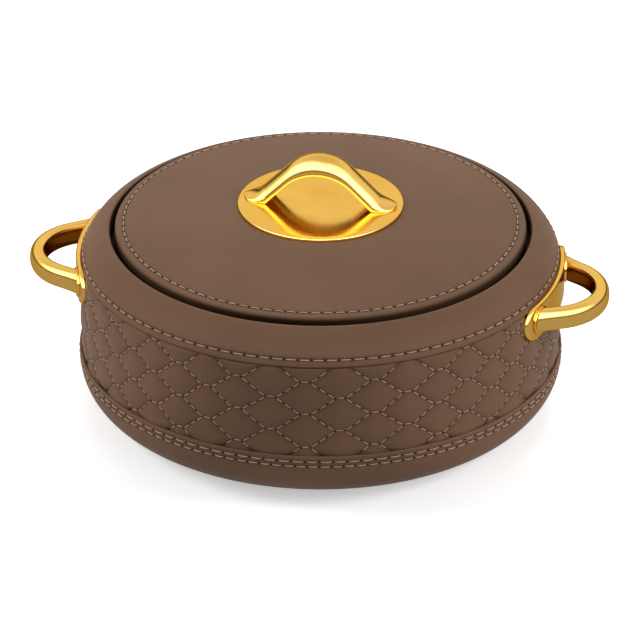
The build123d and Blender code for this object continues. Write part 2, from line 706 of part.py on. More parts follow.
def gap_curve():
    """Pointed finger gap under the arch: a crown with straight sides that run tangent from it."""
    sink = PULL_GAP_RADIUS - PULL_GAP_RISE
    slope = math.asin(PULL_GAP_RADIUS / math.hypot(PULL_GAP_HALF, sink)) - math.atan2(sink, PULL_GAP_HALF)
    x, z = PULL_GAP_RADIUS * math.sin(slope), PULL_GAP_RADIUS * math.cos(slope) - sink
    side = Line((x, z), (PULL_GAP_HALF, 0))
    return [side, ThreePointArc((x, z), (0, PULL_GAP_RISE), (-x, z)), side.mirror(Plane.YZ)]


def arch_side():
    """Side view of the arch above its plate."""
    toe = arch_toe()
    lip = Polyline((toe, PULL_LIP), (toe, 0), (PULL_GAP_HALF, 0)).edges()
    other_lip = [edge.mirror(Plane.YZ) for edge in lip]
    return make_face(Wire([*arch_curve(0), *lip, *gap_curve(), *other_lip]))


def pull_arch():
    """Cast arch: flat under, half-elliptic over, with round toes on the plate."""
    toe, depth = arch_toe(), PULL_SECTION_HEIGHT / 2
    level, start = PULL_LIP - depth, toe + PULL_BORE
    side = extrude(Plane.XZ * arch_side(), PULL_WIDTH / 2, both=True)
    plan = extrude(SlotOverall(2 * toe, PULL_WIDTH), PULL_TOP_RISE + 1)
    ends = [Line((toe, level), (start, level)), Line((-start, level), (-toe, level))]
    path = Plane.XZ * Wire([ends[1], *arch_curve(depth), ends[0]])
    across = Plane(origin=(-start, 0, level), x_dir=(0, 1, 0), z_dir=(1, 0, 0))
    arch = side & plan & sweep(across * Ellipse(PULL_WIDTH / 2, depth), path=path)
    arch = Pos(0, 0, PLATE_TOP) * arch
    for x in (-PULL_SCREW_X, PULL_SCREW_X):
        arch -= rod(M3[0] + BORE_PLAY / 2, 0, PLATE_TOP + PULL_BORE, x)
    return arch


def pull_screws():
    """Two pan-head screws from inside the lid up into the arch's feet."""
    seat = CEILING_Z - WASHER
    tip = PLATE_TOP + PULL_BORE - TIP_PLAY
    places = (-PULL_SCREW_X, PULL_SCREW_X)
    return [rod(M3[1], seat - M3[2], seat, x) + rod(M3[0], seat - 1, tip, x) for x in places]


def pull_washers():
    disc = ring(M3[0] + BORE_PLAY, M3[1] + WASHER_LAP, CEILING_Z - WASHER, CEILING_Z)
    return [Pos(x, 0, 0) * disc for x in (-PULL_SCREW_X, PULL_SCREW_X)]


# ---- files --------------------------------------------------------------------------------------
strap, loop, bracket = handle_strap(), handle_loop(), handle_bracket()
nodes = {
    "inner_bowl": inner_bowl(),
    "body_insulation": body_insulation(),
    "outer_tub": outer_tub(),
    "shoulder_collar": shoulder_collar(),
    "shoulder_leather": shoulder_leather(),
    "shoulder_stitching": shoulder_stitching(),
    "wall_wadding": wall_wadding(),
    "quilted_wall": quilted_wall(),
    "bottom_band": bottom_band(),
    "band_stitching": band_stitching(),
    "base_cover": base_cover(),
    "base_screws": base_screws(),
    "right_handle_strap": right_side(strap),
    "left_handle_strap": left_side(strap),
    "right_handle_loop": right_side(loop),
    "left_handle_loop": left_side(loop),
    "right_handle_bracket": right_side(bracket),
    "left_handle_bracket": left_side(bracket),
    "handle_screws": handle_screws(),
    "handle_washers": handle_washers(),
    "lid_leather": lid_leather(),
    "lid_stitching": lid_stitching(),
    "lid_wadding": lid_wadding(),
    "lid_shell": lid_shell(),
    "lid_insulation": lid_insulation(),
    "lid_liner": lid_liner(),
    "lid_gasket": lid_gasket(),
    "pull_plate": pull_plate(),
    "pull_arch": pull_arch(),
    "pull_screws": pull_screws(),
    "pull_washers": pull_washers(),
}
for number, (foot_x, foot_y) in enumerate(foot_places(), 1):
    nodes[f"foot_{number}"] = foot(foot_x, foot_y)

for name, shape in nodes.items():
    solids = shape if isinstance(shape, list) else [shape]
    group = Compound(children=[Part(solid.wrapped) for solid in solids], label=name)
    export_step(group, f"parts/{name}.step")
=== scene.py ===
"""Insulated chapati casserole in quilted leather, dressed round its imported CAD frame.

Sizes are millimetres in the row frame, +Z up from the resting plane, and become metres
as each mesh is made.
"""

import logging
import math
from dataclasses import dataclass, field
from enum import Enum
from typing import Callable, Iterable, Sequence

import bpy
import numpy as np
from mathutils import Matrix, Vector


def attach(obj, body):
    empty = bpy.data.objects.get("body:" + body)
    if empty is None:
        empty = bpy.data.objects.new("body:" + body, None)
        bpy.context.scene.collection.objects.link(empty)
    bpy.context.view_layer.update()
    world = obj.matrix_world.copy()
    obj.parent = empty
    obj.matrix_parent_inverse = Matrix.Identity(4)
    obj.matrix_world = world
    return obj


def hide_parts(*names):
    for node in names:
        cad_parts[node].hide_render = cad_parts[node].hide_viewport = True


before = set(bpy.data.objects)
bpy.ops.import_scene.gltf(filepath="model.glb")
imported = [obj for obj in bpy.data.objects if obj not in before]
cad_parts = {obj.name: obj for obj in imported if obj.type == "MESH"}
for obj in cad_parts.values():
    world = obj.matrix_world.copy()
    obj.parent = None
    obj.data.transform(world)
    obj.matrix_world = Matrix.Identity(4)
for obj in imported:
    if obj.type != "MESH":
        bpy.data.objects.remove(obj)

LOG = logging.getLogger("casserole")
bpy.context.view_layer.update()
MM = 0.001
TAU = 2 * math.pi
BODY = "casserole"
LID = "lid"
UP = np.array((0.0, 0.0, 1.0))
STEPS_A_STITCH = 9
LEAST_ROUNDING = 0.4
SECOND_FINISH = 1

Faces = list[tuple[int, ...]]
Colour = tuple[float, float, float]
Pair = tuple[float, float]
Corners = Sequence[Sequence[float]]
Array = np.ndarray
Node = bpy.types.Node
Material = bpy.types.Material
Object = bpy.types.Object
Feed = tuple[Node, str | int]


class Slot(Enum):
    """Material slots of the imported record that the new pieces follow."""

    LEATHER = "leather"
    QUILTED = "quilted_leather"
    THREAD = "thread"
    WADDING = "wadding"
    STEEL = "bowl_steel"
    GOLD = "gold_fittings"
    SILICONE = "gasket_silicone"


# ---- sizes shared by several pieces --
@dataclass(frozen=True)
class BodySizes:
    """Outside of the leather body, as the CAD frame has it.

    Attributes:
        wall: radius of the shoulder's wall.
        top: height of the top of the shoulder's rounding.
        edge: radius of the shoulder's and the bottom edge's rounding.
        hem: height of the shoulder leather's lower edge.
        mouth: radius of the lid opening.
        mouth_rounding: rounding of the leather where it rolls into the opening.
        quilt: radius of the quilted panel.
        band: radius of the bottom band.
        band_top: height of the bottom band's upper edge.
        base: height of the leather's underside.
        leather: thickness of the leather.
        flange_top: height of the bowl's flange.
    """

    wall: float = 129.6
    top: float = 102.0
    edge: float = 25.0
    hem: float = 83.8
    mouth: float = 112.3
    mouth_rounding: float = 1.8
    quilt: float = 129.0
    band: float = 130.6
    band_top: float = 32.2
    base: float = 2.0
    leather: float = 1.4
    flange_top: float = 89.8

    def shoulder_radius(self, z: float, inset: float = 0.0) -> float:
        """Radius of the shoulder's rounding at a height, set in by inset."""
        rise = max(z - (self.top - self.edge), 0.0)
        return self.wall - self.edge + math.sqrt((self.edge - inset) ** 2 - rise**2)


SIZES = BodySizes()


# ---- mesh drafting -------------------
@dataclass
class Draft:
    """Points and faces of one piece, gathered before they become one Blender mesh.

    Attributes:
        points: arrays of points in millimetres.
        faces: faces as tuples of point numbers.
        slots: finish number of each face.
        shade: one value per point of painted shade for the finish.
        count: number of points so far.
    """

    points: list[Array] = field(default_factory=list)
    faces: list[tuple[int, ...]] = field(default_factory=list)
    slots: list[int] = field(default_factory=list)
    shade: list[Array] = field(default_factory=list)
    count: int = 0

    def add(self, points: Array, faces: Iterable[Sequence[int]], slot: int = 0,
            shade: Array | None = None) -> None:
        """Adds a patch.

        Args:
            points: its points, one row each.
            faces: its faces, counted from the patch's first point.
            slot: finish number of its faces.
            shade: painted shade of each point, none when left out.
        """
        flat = points.reshape(-1, 3)
        shifted = [tuple(int(n) + self.count for n in face) for face in faces]
        self.points.append(flat)
        self.faces.extend(shifted)
        self.slots.extend([slot] * len(shifted))
        self.shade.append(np.zeros(len(flat)) if shade is None else shade.reshape(-1))
        self.count += len(flat)

    def build(self, name: str, finishes: Sequence[Material], body: str,
              slot: Slot) -> Object:
        """Makes the Blender object.

        Args:
            name: the piece's name.
            finishes: its materials, in slot order.
            body: CAD body that it rides on.
            slot: record slot that its finish follows; not used.

        Returns:
            The new object, riding on its body.
        """
        mesh = bpy.data.meshes.new(name)
        mesh.from_pydata((np.concatenate(self.points) * MM).tolist(), [], self.faces)
        mesh.polygons.foreach_set("material_index", self.slots)
        mesh.polygons.foreach_set("use_smooth", [True] * len(self.faces))
        # The shade attribute carries painted shade to the leather finish.
        shade = mesh.attributes.new("shade", "FLOAT", "POINT")
        shade.data.foreach_set("value", np.concatenate(self.shade).astype(np.float32))
        for finish in finishes:
            mesh.materials.append(finish)
        mesh.update()
        piece = bpy.data.objects.new(name, mesh)
        bpy.context.scene.collection.objects.link(piece)
        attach(piece, body)
        LOG.info("%s: %d faces on %s", name, len(self.faces), body)
        return piece


def rounded(corners: Corners, arc_step: float = 7.0) -> Array:
    """Closed outline with rounded corners.

    Args:
        corners: (across, up) or (across, up, rounding) of each corner, counter-clockwise.
        arc_step: largest turn between two points of a rounding, in degrees.

    Returns:
        The outline's points, one row each.
    """
    outline: list[Array] = []
    count = len(corners)
    for number, corner in enumerate(corners):
        here = np.array(corner[:2], float)
        rounding = corner[2] if len(corner) > 2 else 0.0
        if rounding <= 0:
            outline.append(here)
            continue
        before = np.array(corners[number - 1][:2], float) - here
        after = np.array(corners[(number + 1) % count][:2], float) - here
        before /= np.linalg.norm(before)
        after /= np.linalg.norm(after)
        half = math.acos(max(-1.0, min(1.0, float(before @ after)))) / 2
        reach = rounding / math.tan(half)
        centre = here + (before + after) / np.linalg.norm(before + after) * rounding / math.sin(half)
        start, end = here + before * reach - centre, here + after * reach - centre
        turn = math.atan2(start[0] * end[1] - start[1] * end[0], float(start @ end))
        steps = max(2, math.ceil(abs(math.degrees(turn)) / arc_step))
        for step in range(steps + 1):
            angle = turn * step / steps
            c, s = math.cos(angle), math.sin(angle)
            outline.append(centre + np.array((c * start[0] - s * start[1], s * start[0] + c * start[1])))
    return np.array(outline)


def arc(centre: Pair, radius: float, first: float, last: float, step: float) -> Array:
    """Points of an arc.

    Args:
        centre: (across, up) of its centre.
        radius: its radius.
        first: angle of its first point in degrees from the across axis.
        last: angle of its last point.
        step: longest stretch between two points.

    Returns:
        The arc's points, one row each.
    """
    count = max(2, math.ceil(abs(math.radians(last - first)) * radius / step))
    angles = np.radians(np.linspace(first, last, count + 1))
    return np.stack((centre[0] + radius * np.cos(angles), centre[1] + radius * np.sin(angles)), 1)


def denser(outline: Array, step: float, closed: bool = True) -> Array:
    """Outline with its long stretches divided.

    Args:
        outline: its points.
        step: longest stretch to leave.
        closed: whether the last point joins the first.

    Returns:
        The denser outline.
    """
    ends = np.roll(outline, -1, 0) if closed else outline[1:]
    starts = outline if closed else outline[:-1]
    pieces = []
    for start, end in zip(starts, ends):
        parts = max(1, math.ceil(float(np.linalg.norm(end - start)) / step))
        pieces.append(start + (end - start) * (np.arange(parts) / parts)[:, None])
    if not closed:
        pieces.append(outline[-1:])
    return np.concatenate(pieces)


def revolve(outline: Array, turns: int, closed: bool = True) -> tuple[Array, Faces]:
    """Surface of revolution about Z.

    Args:
        outline: (radius, height) points, counter-clockwise where closed.
        turns: number of steps round.
        closed: whether the outline's last point joins its first.

    Returns:
        Points as a (turns, len(outline), 3) grid, and its faces.
    """
    angles = np.arange(turns) * TAU / turns
    radius, height = outline[:, 0], outline[:, 1]
    grid = np.empty((turns, len(outline), 3))
    grid[..., 0] = np.cos(angles)[:, None] * radius
    grid[..., 1] = np.sin(angles)[:, None] * radius
    grid[..., 2] = height
    return grid, grid_faces(turns, len(outline), True, closed)


def grid_faces(rows: int, columns: int, rows_close: bool, columns_close: bool) -> Faces:
    """Four-sided faces between the points of a grid.

    Args:
        rows: number of rows of points.
        columns: points in a row.
        rows_close: whether the last row joins the first.
        columns_close: whether a row's last point joins its first.

    Returns:
        The faces as point numbers.
    """
    row = np.arange(rows if rows_close else rows - 1)
    column = np.arange(columns if columns_close else columns - 1)
    a, b = np.meshgrid(row, column, indexing="ij")
    next_a, next_b = (a + 1) % rows, (b + 1) % columns
    corners = (a * columns + b, next_a * columns + b, next_a * columns + next_b, a * columns + next_b)
    return np.stack(corners, -1).reshape(-1, 4).tolist()


def smoothstep(value: Array | float) -> Array:
    """0 to 1 with level ends."""
    clipped = np.clip(value, 0.0, 1.0)
    return clipped * clipped * (3 - 2 * clipped)


# ---- finishes ------------------------
class NodeWork:
    """Nodes of one tree and the links between them."""

    def __init__(self, tree: bpy.types.NodeTree) -> None:
        """Starts with the tree emptied."""
        self.tree = tree
        tree.nodes.clear()

    def node(self, kind: str, **settings: object) -> Node:
        """Adds a node.

        Args:
            kind: Blender's name for its kind.
            **settings: properties to set on it.

        Returns:
            The node.
        """
        made = self.tree.nodes.new(kind)
        for name, value in settings.items():
            setattr(made, name, value)
        return made

    def link(self, source: Node, output: str | int, target: Node,
             socket: str | int) -> None:
        """Joins two nodes."""
        self.tree.links.new(source.outputs[output], target.inputs[socket])

    def feed(self, target: Node, socket: str | int, value: Feed | Colour | float) -> None:
        """Feeds a socket.

        Args:
            target: node that is fed.
            socket: its socket.
            value: node and output, a colour or a number.
        """
        if isinstance(value, float):
            target.inputs[socket].default_value = value
        elif isinstance(value[0], Node):
            self.link(*value, target, socket)
        else:
            target.inputs[socket].default_value = (*value, 1.0)

    def mapped(self, source: Feed, low: float, high: float, start: float = 0.0,
               end: float = 1.0) -> Node:
        """Maps a value to another range.

        Args:
            source: node and output of the value.
            low: what start becomes.
            high: what end becomes.
            start: first value of the mapped range.
            end: its last value.

        Returns:
            The map node.
        """
        made = self.node("ShaderNodeMapRange")
        for socket, value in (("From Min", start), ("From Max", end), ("To Min", low), ("To Max", high)):
            made.inputs[socket].default_value = value
        self.link(*source, made, "Value")
        return made

    def mix(self, factor: Feed | float, first: Feed | Colour, second: Feed | Colour,
            blend: str = "MIX") -> Node:
        """Mixes two colours.

        Args:
            factor: share of the second colour.
            first: the first colour.
            second: the second colour.
            blend: Blender's name for the way they mix.

        Returns:
            The mix node.
        """
        made = self.node("ShaderNodeMix", data_type="RGBA", blend_type=blend)
        for socket, value in ((0, factor), (6, first), (7, second)):
            self.feed(made, socket, value)
        return made

    def math(self, operation: str, *values: Feed | float) -> Node:
        """Adds a math node.

        Args:
            operation: Blender's name for what it does.
            *values: what it is fed with.

        Returns:
            The math node.
        """
        made = self.node("ShaderNodeMath", operation=operation)
        for number, value in enumerate(values):
            self.feed(made, number, value)
        return made


class Sheet(NodeWork):
    """Node tree of one finish."""

    def __init__(self, name: str) -> None:
        """Starts a material with an empty tree and its principled shader.

        Args:
            name: its name.
        """
        self.material = bpy.data.materials.new(name)
        self.material.use_nodes = True
        super().__init__(self.material.node_tree)
        self.shader = self.node("ShaderNodeBsdfPrincipled")
        self.link(self.shader, "BSDF", self.node("ShaderNodeOutputMaterial"), "Surface")
        self.place = self.node("ShaderNodeTexCoord")

    def noise(self, scale: float, detail: float = 3.0, roughness: float = 0.5) -> Node:
        """Adds noise in object space.

        Args:
            scale: features per metre.
            detail: number of finer layers.
            roughness: strength of the finer layers.

        Returns:
            The noise node.
        """
        made = self.node("ShaderNodeTexNoise")
        for socket, value in (("Scale", scale), ("Detail", detail), ("Roughness", roughness)):
            made.inputs[socket].default_value = value
        self.link(self.place, "Object", made, "Vector")
        return made

    def cells(self, scale: float) -> Node:
        """Adds Voronoi cells in object space.

        Args:
            scale: cells per metre.

        Returns:
            The cell node.
        """
        made = self.node("ShaderNodeTexVoronoi")
        made.inputs["Scale"].default_value = scale
        self.link(self.place, "Object", made, "Vector")
        return made

    def ramp(self, source: Feed, stops: Sequence[tuple[float, Colour]]) -> Node:
        """Adds a colour ramp.

        Args:
            source: node and output that drive it.
            stops: position and colour of each stop.

        Returns:
            The ramp node.
        """
        made = self.node("ShaderNodeValToRGB")
        for element, (position, colour) in zip(made.color_ramp.elements, stops):
            element.position = position
            element.color = (*colour, 1.0)
        self.link(*source, made, "Fac")
        return made

    def coloured(self, source: Feed, colour: Colour, deep: Colour, end: float = 0.7) -> None:
        """Colours the shader, from deep up to its colour where the source reaches end."""
        self.link(self.ramp(source, [(0.3, deep), (end, colour)]), "Color", self.shader, "Base Color")

    def roughened(self, source: Feed, middle: float, spread: Pair) -> None:
        """Varies the shader's roughness round its middle."""
        self.link(self.mapped(source, middle - spread[0], middle + spread[1]), 0, self.shader, "Roughness")

    def embossed(self, source: Feed, distance: float, strength: float = 1.0,
                 under: Feed | None = None) -> None:
        """Gives the shader its relief.

        Args:
            source: node and output of the height.
            distance: depth of the relief in metres.
            strength: its strength.
            under: height and depth of a coarser relief below it.
        """
        relief = self.bump(source, distance, strength)
        if under is not None:
            self.link(self.bump(*under), "Normal", relief, "Normal")
        self.link(relief, "Normal", self.shader, "Normal")

    def bump(self, source: Feed, distance: float, strength: float = 1.0) -> Node:
        """Adds a bump node.

        Args:
            source: node and output of the height.
            distance: depth in metres.
            strength: its strength.

        Returns:
            The bump node.
        """
        made = self.node("ShaderNodeBump")
        made.inputs["Distance"].default_value = distance
        made.inputs["Strength"].default_value = strength
        self.link(*source, made, "Height")
        return made

    def set(self, **values: object) -> None:
        """Sets constant values on the shader's own sockets."""
        for name, value in values.items():
            self.shader.inputs[name.replace("_", " ")].default_value = value


def linear(red: int, green: int, blue: int) -> Colour:
    """Linear colour from 8-bit display values.

    Args:
        red: red, 0 to 255.
        green: green, 0 to 255.
        blue: blue, 0 to 255.

    Returns:
        The linear colour.
    """
    def channel(value: int) -> float:
        """One channel by the display curve."""
        part = value / 255
        return part / 12.92 if part <= 0.04045 else ((part + 0.055) / 1.055) ** 2.4
    return channel(red), channel(green), channel(blue)


def scaled(colour: Colour, share: float) -> Colour:
    """A colour times a share."""
    return colour[0] * share, colour[1] * share, colour[2] * share


@dataclass(frozen=True)
class LeatherFinish:
    """Fine-grained semi-matte leather, with shade painted into its colour where the mesh's shade attribute
    is set.

    Attributes:
        name: the material's name.
        colour: its middle colour.
        grain: pores per metre.
        relief: depth of the pores in metres.
        roughness: its middle roughness.
        shine: specular level outside the painted shade.
        cloud: features per metre of its slow change of tone.
        tones: darkest and lightest share of the colour in that change.
        pore_share: how far a pore takes the darker tone.
        pore_reach: distances from a cell's middle at which that tone is gone and is full.
        pore_tone: share of the colour in the pores.
        painted_shade_tone: share of the colour in the painted shade.
        painted_shade_end: painted shade at which the shine is gone.
        wear: features per metre of its unevenness in gloss.
        wear_range: change of roughness, smoother and rougher.
        crease: creases per metre.
        crease_depth: depth of a crease as a multiple of a pore's.
    """

    name: str = "taupe_leather"
    colour: Colour = (0.150, 0.081, 0.047)
    grain: float = 900.0
    relief: float = 0.00005
    roughness: float = 0.48
    shine: float = 0.14
    cloud: float = 14.0
    tones: Pair = (0.90, 1.08)
    pore_share: float = 0.16
    pore_reach: Pair = (0.75, 0.30)
    pore_tone: float = 0.55
    painted_shade_tone: float = 0.30
    painted_shade_end: float = 0.6
    wear: float = 60.0
    wear_range: Pair = (0.05, 0.06)
    crease: float = 420.0
    crease_depth: float = 1.6

    def build(self) -> Material:
        """Makes the material.

        Returns:
            The material.
        """
        sheet = Sheet(self.name)
        deep, pale = (scaled(self.colour, tone) for tone in self.tones)
        tone = sheet.ramp((sheet.noise(self.cloud, 4.0), "Fac"), [(0.35, deep), (0.65, pale)])
        pores = sheet.cells(self.grain)
        pore_edge = sheet.mapped((pores, "Distance"), 0.0, self.pore_share, *self.pore_reach)
        grained = sheet.mix((pore_edge, 0), (tone, "Color"), scaled(self.colour, self.pore_tone))
        # Painted shade: the mesh's shade attribute darkens the colour and takes away the shine in seams,
        # stitch grooves and the gap round the lid.
        pinch = sheet.node("ShaderNodeAttribute", attribute_name="shade")
        painted_shade_colour = sheet.mix((pinch, "Fac"), (grained, 2), scaled(self.colour, self.painted_shade_tone))
        sheet.link(painted_shade_colour, 2, sheet.shader, "Base Color")
        sheet.roughened((sheet.noise(self.wear, 4.0, 0.6), "Fac"), self.roughness, self.wear_range)
        crease = (sheet.noise(self.crease, 5.0, 0.6), "Fac")
        sheet.embossed((pores, "Distance"), self.relief, 1.0, (crease, self.relief * self.crease_depth))
        shine = sheet.mapped((pinch, "Fac"), self.shine, 0.0, 0.0, self.painted_shade_end)
        sheet.link(shine, 0, sheet.shader, "Specular IOR Level")
        return sheet.material


@dataclass(frozen=True)
class ThreadFinish:
    """Waxed tan thread with its twist.

    Attributes:
        name: the material's name.
        colour: its colour.
        ply: features per metre of the twist.
        ply_tone: share of the colour between the plies.
        relief: depth of the twist in metres.
        roughness: its roughness.
        sheen: its sheen.
    """

    name: str = "tan_thread"
    colour: Colour = linear(196, 168, 143)
    ply: float = 2600.0
    ply_tone: float = 0.55
    relief: float = 0.00008
    roughness: float = 0.6
    sheen: float = 0.2

    def build(self) -> Material:
        """Makes the material.

        Returns:
            The material.
        """
        sheet = Sheet(self.name)
        ply = (sheet.noise(self.ply, 2.0), "Fac")
        sheet.coloured(ply, self.colour, scaled(self.colour, self.ply_tone), 0.62)
        sheet.embossed(ply, self.relief)
        sheet.set(Roughness=self.roughness, Sheen_Weight=self.sheen)
        return sheet.material


@dataclass(frozen=True)
class HoleFinish:
    """Shadowed leather in a needle hole.

    Attributes:
        name: the material's name.
        colour: its lightest colour.
        fibre: fibres per metre.
        fibre_tone: share of the colour between the fibres.
        roughness: its roughness.
        shine: its specular level.
    """

    name: str = "needle_hole"
    colour: Colour = linear(38, 22, 14)
    fibre: float = 1800.0
    fibre_tone: float = 0.6
    roughness: float = 0.85
    shine: float = 0.15

    def build(self) -> Material:
        """Makes the material.

        Returns:
            The material.
        """
        sheet = Sheet(self.name)
        fibre = (sheet.noise(self.fibre, 3.0), "Fac")
        sheet.coloured(fibre, self.colour, scaled(self.colour, self.fibre_tone))
        sheet.set(Roughness=self.roughness, Specular_IOR_Level=self.shine)
        return sheet.material


@dataclass(frozen=True)
class GoldFinish:
    """Mirror-polished gold-toned metal with the faintest unevenness of its polish.

    Attributes:
        name: the material's name.
        colour: its colour seen straight on.
        edge: its colour seen at a glancing angle.
        roughness: its middle roughness.
        haze: features per metre of its slow change of tone and gloss.
        haze_tone: share of red, green and blue where it is deepest.
        haze_range: change of roughness, smoother and rougher.
        polish: features per metre of its unevenness.
        relief: depth of that unevenness in metres.
        strength: its strength.
    """

    name: str = "polished_gold"
    colour: Colour = (0.93, 0.575, 0.15)
    edge: Colour = (0.88, 0.68, 0.36)
    roughness: float = 0.14
    haze: float = 45.0
    haze_tone: Colour = (0.93, 0.86, 0.72)
    haze_range: Pair = (0.02, 0.04)
    polish: float = 70.0
    relief: float = 0.00006
    strength: float = 0.5

    def build(self) -> Material:
        """Makes the material.

        Returns:
            The material.
        """
        sheet = Sheet(self.name)
        haze = (sheet.noise(self.haze, 4.0), "Fac")
        deep = tuple(channel * share for channel, share in zip(self.colour, self.haze_tone))
        sheet.coloured(haze, self.colour, deep)
        sheet.roughened(haze, self.roughness, self.haze_range)
        sheet.embossed((sheet.noise(self.polish, 2.0), "Fac"), self.relief, self.strength)
        sheet.set(Metallic=1.0, Specular_Tint=(*self.edge, 1.0))
        return sheet.material


@dataclass(frozen=True)
class SpunSteelFinish:
    """Stainless steel with the fine rings of its spinning.

    Attributes:
        name: the material's name.
        colour: its lightest colour.
        roughness: its middle roughness.
        rings: rings per metre.
        ring_tone: share of the colour between the rings.
        ring_range: change of roughness, smoother and rougher.
        relief: depth of the rings in metres.
    """

    name: str = "spun_steel"
    colour: Colour = (0.62, 0.61, 0.59)
    roughness: float = 0.26
    rings: float = 2400.0
    ring_tone: float = 0.86
    ring_range: Pair = (0.05, 0.08)
    relief: float = 0.000006

    def build(self) -> Material:
        """Makes the material.

        Returns:
            The material.
        """
        sheet = Sheet(self.name)
        apart = sheet.node("ShaderNodeSeparateXYZ")
        sheet.link(sheet.place, "Object", apart, 0)
        flat = sheet.node("ShaderNodeCombineXYZ")
        sheet.link(apart, "X", flat, "X")
        sheet.link(apart, "Y", flat, "Y")
        reach = sheet.node("ShaderNodeVectorMath", operation="LENGTH")
        sheet.link(flat, 0, reach, 0)
        section = sheet.node("ShaderNodeCombineXYZ")
        sheet.link(reach, "Value", section, "X")
        sheet.link(apart, "Z", section, "Y")
        rings = sheet.node("ShaderNodeTexNoise")
        rings.inputs["Scale"].default_value = self.rings
        rings.inputs["Detail"].default_value = 2.0
        sheet.link(section, 0, rings, "Vector")
        ring = (rings, "Fac")
        sheet.coloured(ring, self.colour, scaled(self.colour, self.ring_tone))
        sheet.roughened(ring, self.roughness, self.ring_range)
        sheet.embossed(ring, self.relief)
        sheet.set(Metallic=1.0)
        return sheet.material


@dataclass(frozen=True)
class GrainedFinish:
    """Plain material with a fine grain: mouldings, rubber, foam, wadding or plated screws.

    Attributes:
        name: the material's name.
        colour: its lightest colour.
        roughness: its middle roughness.
        grain: grains per metre.
        relief: depth of the grain in metres.
        variation: how much darker the grain gets.
        metallic: 1 for a metal.
        celled: whether the grain is cells.
        cloud: features per metre of its slow change of gloss.
        cloud_range: change of roughness either way.
    """

    name: str
    colour: Colour
    roughness: float
    grain: float
    relief: float
    variation: float = 0.15
    metallic: float = 0.0
    celled: bool = False
    cloud: float = 30.0
    cloud_range: float = 0.06

    def build(self) -> Material:
        """Makes the material.

        Returns:
            The material.
        """
        sheet = Sheet(self.name)
        if self.celled:
            grain = (sheet.cells(self.grain), "Distance")
        else:
            grain = (sheet.noise(self.grain, 4.0, 0.6), "Fac")
        sheet.coloured(grain, self.colour, scaled(self.colour, 1 - self.variation))
        rougher = min(self.cloud_range, 1.0 - self.roughness)
        cloud = sheet.noise(self.cloud, 3.0)
        sheet.roughened((cloud, "Fac"), self.roughness, (self.cloud_range, rougher))
        sheet.embossed(grain, self.relief)
        sheet.set(Metallic=self.metallic)
        return sheet.material


BROWN, BLACK, CREAM = linear(52, 39, 33), linear(42, 38, 36), linear(235, 220, 170)
OFF_WHITE, DARK_RUBBER, PALE_GREY = linear(236, 234, 228), linear(28, 27, 27), linear(226, 224, 220)
ZINC = (0.6, 0.6, 0.62)


def built(look: object) -> Material:
    """A field that holds the material of one look."""
    return field(default_factory=look.build)


@dataclass
class Finishes:
    """Every finish of the casserole, built once."""

    leather: Material = built(LeatherFinish())
    thread: Material = built(ThreadFinish())
    hole: Material = built(HoleFinish())
    gold: Material = built(GoldFinish())
    # Painted shade: a darker copy of the gold for the arch's underside and the loops' inner faces.
    gold_painted_shade: Material = built(
        GoldFinish("gold_painted_shade", (0.26, 0.13, 0.034), (0.18, 0.10, 0.04), 0.2))
    steel: Material = built(SpunSteelFinish())
    moulding: Material = built(GrainedFinish("brown_moulding", BROWN, 0.8, 900, 0.00003))
    base: Material = built(GrainedFinish("base_moulding", BLACK, 0.6, 700, 0.00006))
    foam: Material = built(
        GrainedFinish("rigid_foam", CREAM, 0.9, 900, 0.0003, 0.25, celled=True))
    wadding: Material = built(GrainedFinish("soft_wadding", OFF_WHITE, 0.95, 500, 0.0006, 0.12))
    screw: Material = built(GrainedFinish("zinc_plate", ZINC, 0.3, 1500, 0.00001, 0.1, 1.0))
    rubber: Material = built(GrainedFinish("foot_rubber", DARK_RUBBER, 0.75, 1600, 0.00004))
    silicone: Material = built(GrainedFinish("silicone", PALE_GREY, 0.45, 800, 0.00001, 0.04))


